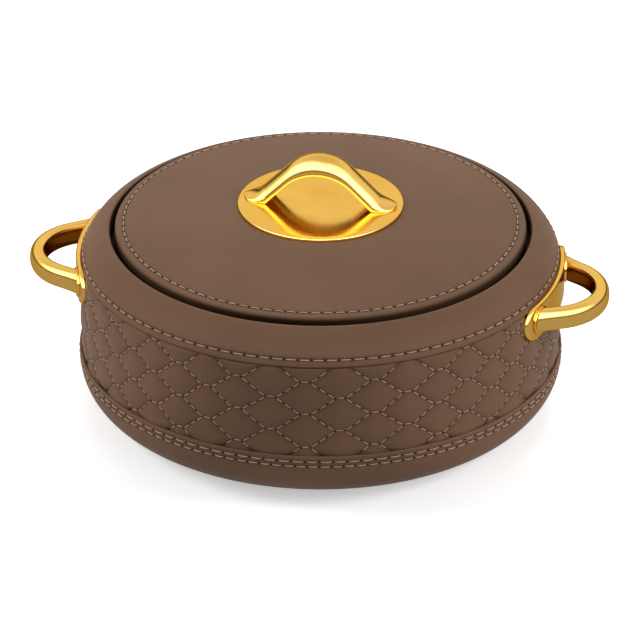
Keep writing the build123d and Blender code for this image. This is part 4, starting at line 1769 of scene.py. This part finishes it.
@dataclass
class SideHandle:
    """Polished loop with round flanged feet on a curved strap.

    It is drawn along +X, turned a little forward and, on the left, mirrored.

    Attributes:
        side: which side it is on.
        z: height of its middle.
        forward: its turn towards the front in degrees.
        strap_in: radius of the strap's inner face.
        strap_out: radius of its outer face.
        strap_height: width of the strap.
        strap_half: half of its length, straight across.
        edge: rounding of its outer edge.
        reach: outermost point of the loop.
        arc_radius: radius of the loop's centreline.
        splay: angle of the legs to the handle's axis in degrees.
        thick: thickness of the loop seen from above.
        tall: its height.
        foot: radius of a foot's flange.
        rim: thickness of that flange.
        back_edge: bevel of the strap's inner edge.
        face_insets: insets of the rings that make up the strap's outer face.
        flare_inset: how far the flare's foot stays inside the flange's edge.
        flare_power: how quickly the flare narrows.
        sunk: how deep the flare ends in the strap.
        powers: squareness of the loop's section on its outer and its inner side.
        sides: sides of the loop's section.
        inside_share: half of the share of the section's sides that face inwards, which take the darker
            painted-shade gold.
        end_points: points round an end of the strap.
        run_points: points along its straight side, with both ends.
        edge_points: points round its outer edge.
        leg_rings: rings of a leg, with the arc's first.
        arc_rings: rings of the arc.
        flange_sides: sides of a flange.
        rim_points: points round its rim.
        flange_root: how deep it starts in the strap.
        flange_face: radii of the rings that make up its face.
    """

    side: Side
    z: float = 75.6
    forward: float = 4.6
    strap_in: float = 128.3
    strap_out: float = 131.3
    strap_height: float = 19.4
    strap_half: float = 44.47
    edge: float = 0.9
    reach: float = 157.6
    arc_radius: float = 29.0
    splay: float = 28.0
    thick: float = 8.6
    tall: float = 12.0
    foot: float = 8.0
    rim: float = 0.9
    back_edge: float = 0.4
    face_insets: tuple[float, ...] = (1.2, 1.8, 3.2, 5.2, 7.4)
    flare_inset: float = 1.1
    flare_power: float = 2.2
    sunk: float = 0.5
    powers: Pair = (2.3, 3.6)
    sides: int = 64
    inside_share: float = 0.13
    end_points: int = 25
    run_points: int = 42
    edge_points: int = 7
    leg_rings: int = 15
    arc_rings: int = 80
    flange_sides: int = 48
    rim_points: int = 6
    flange_root: float = 0.8
    flange_face: tuple[float, ...] = (7.0, 5.0, 2.5, 0.0)

    def finish(self, name: str, node: str, patches: Sequence[tuple[Array, Faces, int]],
               finishes: Finishes) -> None:
        """Turns a drawn part to its place and makes its piece.

        Args:
            name: the piece's name without its side.
            node: the CAD node's name without its side.
            patches: (points, faces, finish number) of its patches, as drawn along +X.
            finishes: the finishes.
        """
        turn = math.radians(self.forward)
        c, s = math.cos(turn), math.sin(turn)
        draft = Draft()
        for points, faces, slot in patches:
            x, y, z = points[..., 0], points[..., 1], points[..., 2]
            placed = np.stack(((x * c + y * s) * self.side.value, y * c - x * s, z), -1)
            kept = faces if self.side is Side.RIGHT else [face[::-1] for face in faces]
            draft.add(placed, kept, slot)
        side = self.side.name.lower()
        piece = draft.build(f"{side}_{name}", [finishes.gold, finishes.gold_painted_shade], BODY, Slot.GOLD)
        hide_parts(f"{side}_{node}")

    def stadium(self, inset: float) -> Array:
        """(y, z) points of the strap's outline, set in by inset.

        Args:
            inset: how far the section is set in.

        Returns:
            The points.
        """
        half = self.strap_height / 2
        straight = self.strap_half - half
        radius = half - inset
        swing = np.linspace(-math.pi / 2, math.pi / 2, self.end_points)
        end = np.stack((straight + radius * np.cos(swing), radius * np.sin(swing)), 1)
        run = np.linspace(straight, -straight, self.run_points)[1:-1]
        upper = np.stack((run, np.full(len(run), radius)), 1)
        return np.concatenate((end, upper, -end, -upper))

    def strap(self, finishes: Finishes) -> None:
        """Makes the strap: a plate with round ends that follows the wall.

        Args:
            finishes: the finishes.
        """
        half = self.strap_height / 2
        profile = [(inset, self.strap_in) for inset in (half, half / 2, self.back_edge)]
        profile.append((0.0, self.strap_in + self.back_edge))
        for angle in np.radians(np.linspace(0, 90, self.edge_points)):
            inset, sink = self.edge * (1 - math.cos(angle)), self.edge * (1 - math.sin(angle))
            profile.append((inset, self.strap_out - sink))
        profile += [(inset, self.strap_out) for inset in (*self.face_insets, half)]
        rings = []
        for inset, radius in profile:
            outline = self.stadium(inset)
            depth = np.sqrt(radius**2 - outline[:, 0] ** 2)
            rings.append(np.column_stack((depth, outline[:, 0], outline[:, 1] + self.z)))
        points = np.stack(rings)
        faces = grid_faces(*points.shape[:2], False, True)
        self.finish("strap_piece", "handle_strap", [(points, faces, 0)], finishes)

    def section(self) -> Array:
        """(out, up) of the loop's unit section: rather flat towards the body, rounder outside.

        Returns:
            The points.
        """
        turn = np.arange(self.sides) * TAU / self.sides
        c, s = np.cos(turn), np.sin(turn)
        outer, inner = self.powers
        power = np.where(c >= 0, 2 / outer, 2 / inner)
        return np.stack((np.sign(c) * np.abs(c) ** power, np.sign(s) * np.abs(s) ** power), 1)

    def leg(self, section: Array) -> list[Array]:
        """Rings of the +Y leg, from its flared foot in the strap to the loop's arc.

        Args:
            section: unit section, as section() gives it.

        Returns:
            Points of each ring.
        """
        along, top, root = self.leg_line()
        side = np.array((-along[1], along[0]))
        length = float(np.linalg.norm(top - root))
        normal = root / np.linalg.norm(root)
        swing = np.arange(len(section)) * TAU / len(section)
        flared = np.stack((np.cos(swing) * float(normal @ along), np.sin(swing)), 1)
        flared *= self.foot - self.flare_inset
        bar = section * (self.thick / 2, self.tall / 2)
        start = root + side * flared[:, :1]
        near = start @ along
        buried = self.strap_out - self.sunk
        slide = -near + np.sqrt(near**2 - (start**2).sum(1) + buried**2) - length
        rings = []
        for share in np.linspace(0.0, 1.0, self.leg_rings)[:-1]:
            shape = bar + (flared - bar) * (1 - share) ** self.flare_power
            plan = top + side * shape[:, :1] + along * (slide * (1 - share))[:, None]
            rings.append(np.column_stack((plan, shape[:, 1] + self.z)))
        return rings

    def leg_line(self) -> tuple[Array, Array, Array]:
        """Direction in plan of the +Y leg, its end at the arc and its end on the strap.

        Returns:
            The direction and the two ends.
        """
        splay = math.radians(self.splay)
        along = np.array((math.cos(splay), -math.sin(splay)))
        centre = np.array((self.reach - self.thick / 2 - self.arc_radius, 0.0))
        top = centre + self.arc_radius * np.array((math.sin(splay), math.cos(splay)))
        nearest = float(top @ along)
        return along, top, top - along * (nearest - math.sqrt(nearest**2 - top @ top + self.strap_out**2))

    def flange(self) -> Array:
        """Rings of the round flange under the +Y foot.

        Returns:
            The rings.
        """
        _, _, root = self.leg_line()
        normal = root / np.linalg.norm(root)
        sideways = np.array((-normal[1], normal[0]))
        swing = np.arange(self.flange_sides) * TAU / self.flange_sides
        round_edge = self.rim / 2
        profile = [(self.foot, -self.flange_root)]
        for angle in np.radians(np.linspace(0, 90, self.rim_points)):
            edge = round_edge * (1 - math.cos(angle)), round_edge * (1 - math.sin(angle))
            profile.append((self.foot - edge[0], self.rim - edge[1]))
        profile += [(radius, self.rim) for radius in self.flange_face]
        rings = []
        for radius, height in profile:
            plan = root + normal * height + sideways * (radius * np.cos(swing))[:, None]
            rings.append(np.column_stack((plan, radius * np.sin(swing) + self.z)))
        return np.stack(rings)

    def loop(self, finishes: Finishes) -> None:
        """Makes the loop with both feet.

        Args:
            finishes: the finishes.
        """
        section = self.section()
        leg = self.leg(section)
        other = np.array((1.0, -1.0, 1.0))
        centre = self.reach - self.thick / 2 - self.arc_radius
        rings = list(leg)
        for angle in np.radians(np.linspace(90 - self.splay, self.splay - 90, self.arc_rings)):
            out = np.array((math.cos(angle), math.sin(angle)))
            shape = section * (self.thick / 2, self.tall / 2)
            plan = np.array((centre, 0.0)) + out * (self.arc_radius + shape[:, :1])
            rings.append(np.column_stack((plan, shape[:, 1] + self.z)))
        rings += [ring * other for ring in leg[::-1]]
        points = np.stack(rings)
        rows, columns = points.shape[:2]
        faces = np.array(grid_faces(rows, columns, False, True))[:, ::-1]
        # Painted shade: the inward faces take the darker gold.
        inside = np.abs(faces[:, 0] % columns - columns / 2) < columns * self.inside_share
        flange = self.flange()
        disc = grid_faces(*flange.shape[:2], False, True)
        patches = [
            (points, faces[~inside].tolist(), 0),
            (points, faces[inside].tolist(), SECOND_FINISH),
            (flange, disc, 0),
            (flange * other, [face[::-1] for face in disc], 0),
        ]
        self.finish("loop_piece", "handle_loop", patches, finishes)

    def build(self, finishes: Finishes) -> None:
        """Makes the strap and the loop."""
        self.strap(finishes)
        self.loop(finishes)


# ---- inside --------------------------
@dataclass
class TurnedPiece:
    """Plain turned piece that stands for a CAD node.

    Attributes:
        name: the piece's name.
        node: CAD node that it stands for.
        body: CAD body that it rides on.
        slot: record slot that its finish follows.
        corners: its section, counter-clockwise, with roundings.
        turns: steps round.
        step: longest stretch of the section.
        arc_step: largest turn in a rounding, in degrees.
    """

    name: str
    node: str
    body: str
    slot: Slot
    corners: Corners
    turns: int = 200
    step: float = 3.0
    arc_step: float = 6.0

    def build(self, finish: Material) -> None:
        """Makes the piece, open along the axis where its section starts there.

        Args:
            finish: its finish.
        """
        closed = self.corners[0][0] > 0
        outline = denser(rounded(self.corners, self.arc_step), self.step, closed)
        grid, faces = revolve(outline, self.turns, closed)
        draft = Draft()
        draft.add(grid, faces)
        piece = draft.build(self.name, [finish], self.body, self.slot)
        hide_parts(self.node)


@dataclass
class SteelWare:
    """The steel bowl, and the lid's steel liner with its gasket.

    Attributes:
        steel: thickness of the bowl.
        bowl: radius of its inside.
        bowl_floor: height of its floor.
        bowl_edge: rounding between its floor and its wall.
        flange: radius of its flange.
        flange_top: height of the flange.
        lip: rounding of the flange's edge.
        liner_steel: thickness of the liner.
        liner: radius of the liner's outside.
        liner_flange: radius of its flange.
        liner_top: height of its flange's underside.
        liner_depth: how far it reaches down from there.
        liner_edge: rounding round its bottom.
        seal: inner and outer radius of the gasket.
        seal_low: height of the gasket's underside.
        bead: inner and outer radius of its bead.
        bead_foot: the same at the bead's lower end.
        bead_low: height of that end.
        turns: steps round the steel pieces.
        step: longest stretch of their sections.
    """

    steel: float = 0.8
    bowl: float = 98.0
    bowl_floor: float = 17.0
    bowl_edge: float = 18.0
    flange: float = 109.5
    flange_top: float = 89.8
    lip: float = 0.35
    liner_steel: float = 0.6
    liner: float = 96.0
    liner_flange: float = 106.2
    liner_top: float = 92.0
    liner_depth: float = 10.0
    liner_edge: float = 4.0
    seal: Pair = (96.1, 105.0)
    seal_low: float = 90.7
    bead: Pair = (99.95, 103.0)
    bead_foot: Pair = (100.5, 102.5)
    bead_low: float = 90.0
    turns: int = 256
    step: float = 2.0

    def build(self, finishes: Finishes) -> None:
        """Makes the three pieces.

        Args:
            finishes: the finishes.
        """
        outside, low = self.bowl + self.steel, self.bowl_floor - self.steel
        bowl = [
            (0.0, low),
            (outside, low, self.bowl_edge + self.steel),
            (outside, self.flange_top - self.steel, 0.5),
            (self.flange, self.flange_top - self.steel, self.lip),
            (self.flange, self.flange_top, self.lip),
            (self.bowl, self.flange_top, 1.2),
            (self.bowl, self.bowl_floor, self.bowl_edge),
            (0.0, self.bowl_floor),
        ]
        self.turned("steel_bowl", "inner_bowl", BODY, bowl, finishes)
        inner, bottom = self.liner - self.liner_steel, self.liner_top - self.liner_depth
        liner = [
            (0.0, bottom),
            (self.liner, bottom, self.liner_edge),
            (self.liner, self.liner_top, 0.3),
            (self.liner_flange, self.liner_top),
            (self.liner_flange, self.liner_top + self.liner_steel),
            (inner, self.liner_top + self.liner_steel, 0.6),
            (inner, bottom + self.liner_steel, self.liner_edge - self.liner_steel),
            (0.0, bottom + self.liner_steel),
        ]
        self.turned("steel_liner", "lid_liner", LID, liner, finishes)
        seal = [
            (self.seal[0], self.seal_low, 0.3),
            (self.bead[0], self.seal_low, 0.4),
            (self.bead_foot[0], self.bead_low, 0.45),
            (self.bead_foot[1], self.bead_low, 0.45),
            (self.bead[1], self.seal_low, 0.4),
            (self.seal[1], self.seal_low, 0.3),
            (self.seal[1], self.liner_top),
            (self.seal[0], self.liner_top),
        ]
        TurnedPiece("gasket_ring", "lid_gasket", LID, Slot.SILICONE, seal).build(finishes.silicone)

    def turned(self, name: str, node: str, body: str, corners: Corners,
               finishes: Finishes) -> None:
        """Makes one steel piece."""
        TurnedPiece(name, node, body, Slot.STEEL, corners, self.turns, self.step).build(finishes.steel)


@dataclass
class Wadding:
    """Soft wadding layers, uneven as laid fibre is.

    Attributes:
        wall: inner and outer radius of the wall's layer.
        wall_top: outer radius at its upper edge.
        heights: heights of its lower edge, its knee and its upper edge.
        insets: depths of the lid's layer under the leather's outside.
        lid_radius: radius of the lid's layer.
        steps: longest stretch of the wall's and the lid's section.
        turns: steps round the wall's and the lid's layer.
        waves: number of waves that draw the surface in.
        around: least and most waves round a layer.
        up: least and most turn of a wave per point of the section.
        depth: most that the surface is drawn in.
        seed: seed of the waves.
    """

    wall: Pair = (125.4, 127.45)
    wall_top: float = 127.3
    heights: tuple[float, float, float] = (23.2, 77.0, 80.9)
    insets: Pair = (1.5, 3.4)
    lid_radius: float = 101.5
    steps: Pair = (1.6, 2.5)
    turns: tuple[int, int] = (520, 360)
    waves: int = 24
    around: tuple[int, int] = (3, 60)
    up: Pair = (0.1, 1.2)
    depth: float = 0.12
    seed: int = 5

    def build(self, finishes: Finishes) -> None:
        """Makes the wall's and the lid's wadding.

        Args:
            finishes: the finishes.
        """
        (inner, outer), (low, knee, high) = self.wall, self.heights
        section = np.array([(inner, low), (outer, low), (outer, knee), (self.wall_top, high), (inner, high)])
        outline = denser(section, self.steps[0])
        self.layer("wall_padding", outline, self.turns[0], "wall_wadding", BODY, finishes)
        skins = []
        for inset in self.insets:
            skin = LidCover().skin(inset)
            skins.append(denser(skin[skin[:, 0] < self.lid_radius], self.steps[1], False))
        outline = np.concatenate((skins[0], skins[1][::-1]))
        self.layer("lid_padding", outline, self.turns[1], "lid_wadding", LID, finishes)

    def layer(self, name: str, outline: Array, turns: int, node: str, body: str,
              finishes: Finishes) -> None:
        """Makes one layer with its surface drawn in unevenly, never outwards.

        Args:
            name: its name.
            outline: the layer's section.
            turns: steps round.
            node: CAD node that it stands for.
            body: CAD body that it rides on.
            finishes: the finishes.
        """
        grid, faces = revolve(outline, turns)
        random = np.random.default_rng(self.seed)
        centre = grid.mean(axis=1, keepdims=True)
        pull = np.zeros(grid.shape[:2])
        for _ in range(self.waves):
            waves = random.integers(*self.around), random.uniform(*self.up)
            phase = random.uniform(0, TAU, 2)
            round_wave = np.sin(np.arange(turns) * TAU / turns * waves[0] + phase[0])
            up_wave = np.sin(np.arange(len(outline)) * waves[1] + phase[1])
            pull += np.abs(np.outer(round_wave, up_wave))
        pull *= self.depth / pull.max()
        heading = centre - grid
        heading /= np.maximum(np.linalg.norm(heading, axis=2, keepdims=True), 1e-6)
        grid += heading * pull[..., None]
        draft = Draft()
        draft.add(grid, faces)
        piece = draft.build(name, [finishes.wadding], body, Slot.WADDING)
        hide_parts(node)


@dataclass
class CarriedNodes:
    """CAD nodes that stay as they are and get their finish here."""

    def build(self, finishes: Finishes) -> None:
        """Dresses each node.

        Args:
            finishes: the finishes.
        """
        brackets = ["left_handle_bracket", "right_handle_bracket"]
        dress = {
            finishes.moulding: ["outer_tub", "shoulder_collar", "lid_shell", *brackets],
            finishes.base: ["base_cover"],
            finishes.foam: ["body_insulation", "lid_insulation"],
            finishes.screw: ["base_screws", "handle_screws", "handle_washers", "pull_screws",
                             "pull_washers"],
            finishes.rubber: [f"foot_{number}" for number in range(1, 5)],
        }
        for finish, nodes in dress.items():
            for node in nodes:
                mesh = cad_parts[node].data
                mesh.materials.clear()
                mesh.materials.append(finish)
                LOG.info("%s: dressed in %s", node, finish.name)


# ---- studio --------------------------
@dataclass
class Camera:
    """The camera, aimed from the object's front and above.

    Attributes:
        target: what it points at.
        distance: how far it stands from there.
        elevation: its height in degrees.
        azimuth: its turn to the right in degrees.
        lens: focal length for a sensor 36 mm wide.
        shift: sideways shift of the picture, as a share of its width.
        clip: nearest and farthest distance that it shows, in metres.
    """

    target: tuple[float, float, float] = (0.0, 0.0, 42.2)
    distance: float = 2340.0
    elevation: float = 28.31
    azimuth: float = 10.0
    lens: float = 243.0
    shift: float = -0.0009
    clip: Pair = (0.1, 50.0)

    def build(self) -> None:
        """Makes the camera and makes it the scene's."""
        data = bpy.data.cameras.new("camera")
        data.lens = self.lens
        data.sensor_width = 36.0
        data.shift_x = self.shift
        data.clip_start, data.clip_end = self.clip
        camera = bpy.data.objects.new("camera", data)
        bpy.context.scene.collection.objects.link(camera)
        turn, rise = math.radians(self.azimuth), math.radians(self.elevation)
        back = Vector((math.sin(turn) * math.cos(rise), -math.cos(turn) * math.cos(rise), math.sin(rise)))
        camera.location = (Vector(self.target) + back * self.distance) * MM
        camera.rotation_mode = "QUATERNION"
        camera.rotation_quaternion = (-back).to_track_quat("-Z", "Y")
        bpy.context.scene.camera = camera


@dataclass(frozen=True)
class Softbox:
    """One area lamp.

    Attributes:
        name: its name.
        place: where it stands, in metres.
        aim: what it points at, in metres.
        size: its width and height, in metres.
        power: in watts.
    """

    name: str
    place: tuple[float, float, float]
    aim: tuple[float, float, float]
    size: Pair
    power: float

    def build(self) -> None:
        """Makes the lamp, hidden from reflections."""
        data = bpy.data.lights.new(self.name, "AREA")
        data.shape = "RECTANGLE"
        data.size, data.size_y = self.size
        data.energy = self.power
        lamp = bpy.data.objects.new(self.name, data)
        bpy.context.scene.collection.objects.link(lamp)
        lamp.visible_glossy = False
        lamp.location = self.place
        lamp.rotation_mode = "QUATERNION"
        lamp.rotation_quaternion = (Vector(self.aim) - Vector(self.place)).to_track_quat("-Z", "Y")


@dataclass
class Studio:
    """Pale floor, soft surround and soft lamps.

    Attributes:
        lamps: the softboxes.
        surround: strength of the surround for everything but reflections.
        mirrored: (height of the direction, strength) of the surround in reflections.
        fronted: extra strength in reflections towards the front and the sides.
        aside: how much the sides count as front.
        faced: how far towards the front that strength begins and is full.
        raised: height of the direction where it begins and is full.
        floor_size: width of the floor in metres.
        floor_colour: its colour.
        lift: extra brightness of the floor towards the camera.
        floor_mirrored: brightness of the floor in reflections.
    """

    lamps: tuple[Softbox, ...] = (
        Softbox("top_box", (-0.1, 0.9, 1.3), (0.0, 0.0, 0.05), (1.3, 1.0), 13.0),
        Softbox("left_box", (-1.5, -0.1, 0.75), (0.0, 0.0, 0.05), (0.6, 1.1), 17.0),
        Softbox("right_box", (1.5, 0.0, 0.75), (0.0, 0.0, 0.05), (0.6, 1.1), 17.0),
    )
    surround: float = 0.31
    mirrored: tuple[Pair, ...] = (
        (0.0, 0.04), (0.12, 0.07), (0.26, 0.85), (0.47, 1.0), (0.85, 0.8),
    )
    fronted: float = 4.2
    aside: float = 0.6
    faced: Pair = (0.2, 1.0)
    raised: Pair = (0.05, 0.45)
    floor_size: float = 24.0
    floor_colour: Colour = (0.93, 0.93, 0.93)
    lift: float = 0.46
    floor_mirrored: float = 0.5

    def build(self) -> None:
        """Makes the floor, the surround and the lamps."""
        self.floor()
        self.world()
        for lamp in self.lamps:
            lamp.build()

    def floor(self) -> None:
        """Makes the floor: diffuse, lifted towards the camera and plain in reflections."""
        bpy.ops.mesh.primitive_plane_add(size=self.floor_size, location=(0, 0, 0))
        floor = bpy.context.object
        floor.name = "floor"
        material = bpy.data.materials.new("pale_floor")
        material.use_nodes = True
        work = NodeWork(material.node_tree)
        diffuse = work.node("ShaderNodeBsdfDiffuse")
        work.feed(diffuse, "Color", self.floor_colour)
        path = work.node("ShaderNodeLightPath")
        glow = work.node("ShaderNodeEmission")
        work.link(work.math("MULTIPLY", (path, "Is Camera Ray"), self.lift), 0, glow, "Strength")
        both = work.node("ShaderNodeAddShader")
        work.link(diffuse, 0, both, 0)
        work.link(glow, 0, both, 1)
        mirrored = work.node("ShaderNodeEmission")
        work.feed(mirrored, "Strength", self.floor_mirrored)
        choice = work.node("ShaderNodeMixShader")
        work.link(path, "Is Glossy Ray", choice, 0)
        work.link(both, 0, choice, 1)
        work.link(mirrored, 0, choice, 2)
        work.link(choice, 0, work.node("ShaderNodeOutputMaterial"), "Surface")
        floor.data.materials.append(material)

    def world(self) -> None:
        """Makes the surround: white to the camera, even for surfaces, banded in reflections."""
        world = bpy.data.worlds.new("surround")
        bpy.context.scene.world = world
        world.use_nodes = True
        work = NodeWork(world.node_tree)
        path = work.node("ShaderNodeLightPath")
        apart = work.node("ShaderNodeSeparateXYZ")
        work.link(work.node("ShaderNodeTexCoord"), "Generated", apart, 0)
        bands = work.node("ShaderNodeValToRGB")
        band = bands.color_ramp.elements
        while len(band) < len(self.mirrored):
            band.new(0.5)
        for element, (height, strength) in zip(band, self.mirrored):
            element.position = height
            element.color = (strength, strength, strength, 1.0)
        work.link(apart, "Z", bands, "Fac")
        even = (self.surround, self.surround, self.surround)
        reflected = (self.front_of(work, apart, bands), 2)
        lighting = work.mix((path, "Is Glossy Ray"), even, reflected)
        seen = work.mix((path, "Is Camera Ray"), (lighting, 2), (1.0, 1.0, 1.0))
        back = work.node("ShaderNodeBackground")
        work.link(seen, 2, back, "Color")
        work.link(back, 0, work.node("ShaderNodeOutputWorld"), "Surface")

    def front_of(self, work: NodeWork, apart: Node, bands: Node) -> Node:
        """Adds the brighter front and sides to the bands of the surround.

        Args:
            work: the surround's nodes.
            apart: the direction's X, Y and Z.
            bands: the bands by height.

        Returns:
            The node that holds the sum.
        """
        aside = work.math("MULTIPLY", (work.math("ABSOLUTE", (apart, "X")), 0), self.aside)
        front = work.math("SUBTRACT", (aside, 0), (apart, "Y"))
        faced = work.mapped((front, 0), 0.0, 1.0, *self.faced)
        raised = work.mapped((apart, "Z"), 0.0, 1.0, *self.raised)
        for made in (faced, raised):
            made.interpolation_type = "SMOOTHSTEP"
        share = work.math("MULTIPLY", (faced, 0), (raised, 0))
        extra = work.math("MULTIPLY", (share, 0), self.fronted)
        return work.mix(1.0, (bands, "Color"), (extra, 0), "ADD")


def main() -> None:
    """Builds the casserole's pieces, then the studio."""
    logging.basicConfig(level=logging.INFO, format="%(name)s %(message)s")
    bpy.context.scene.view_settings.view_transform = "Standard"
    finishes = Finishes()
    Camera().build()
    parts = [Shoulder, QuiltedWall, BottomBand, LidCover, Pull, SteelWare, Wadding, CarriedNodes]
    for part in parts:
        part().build(finishes)
    for side in Side:
        SideHandle(side).build(finishes)
    Studio().build()
    bpy.context.view_layer.update()


if __name__ == "__main__":
    main()
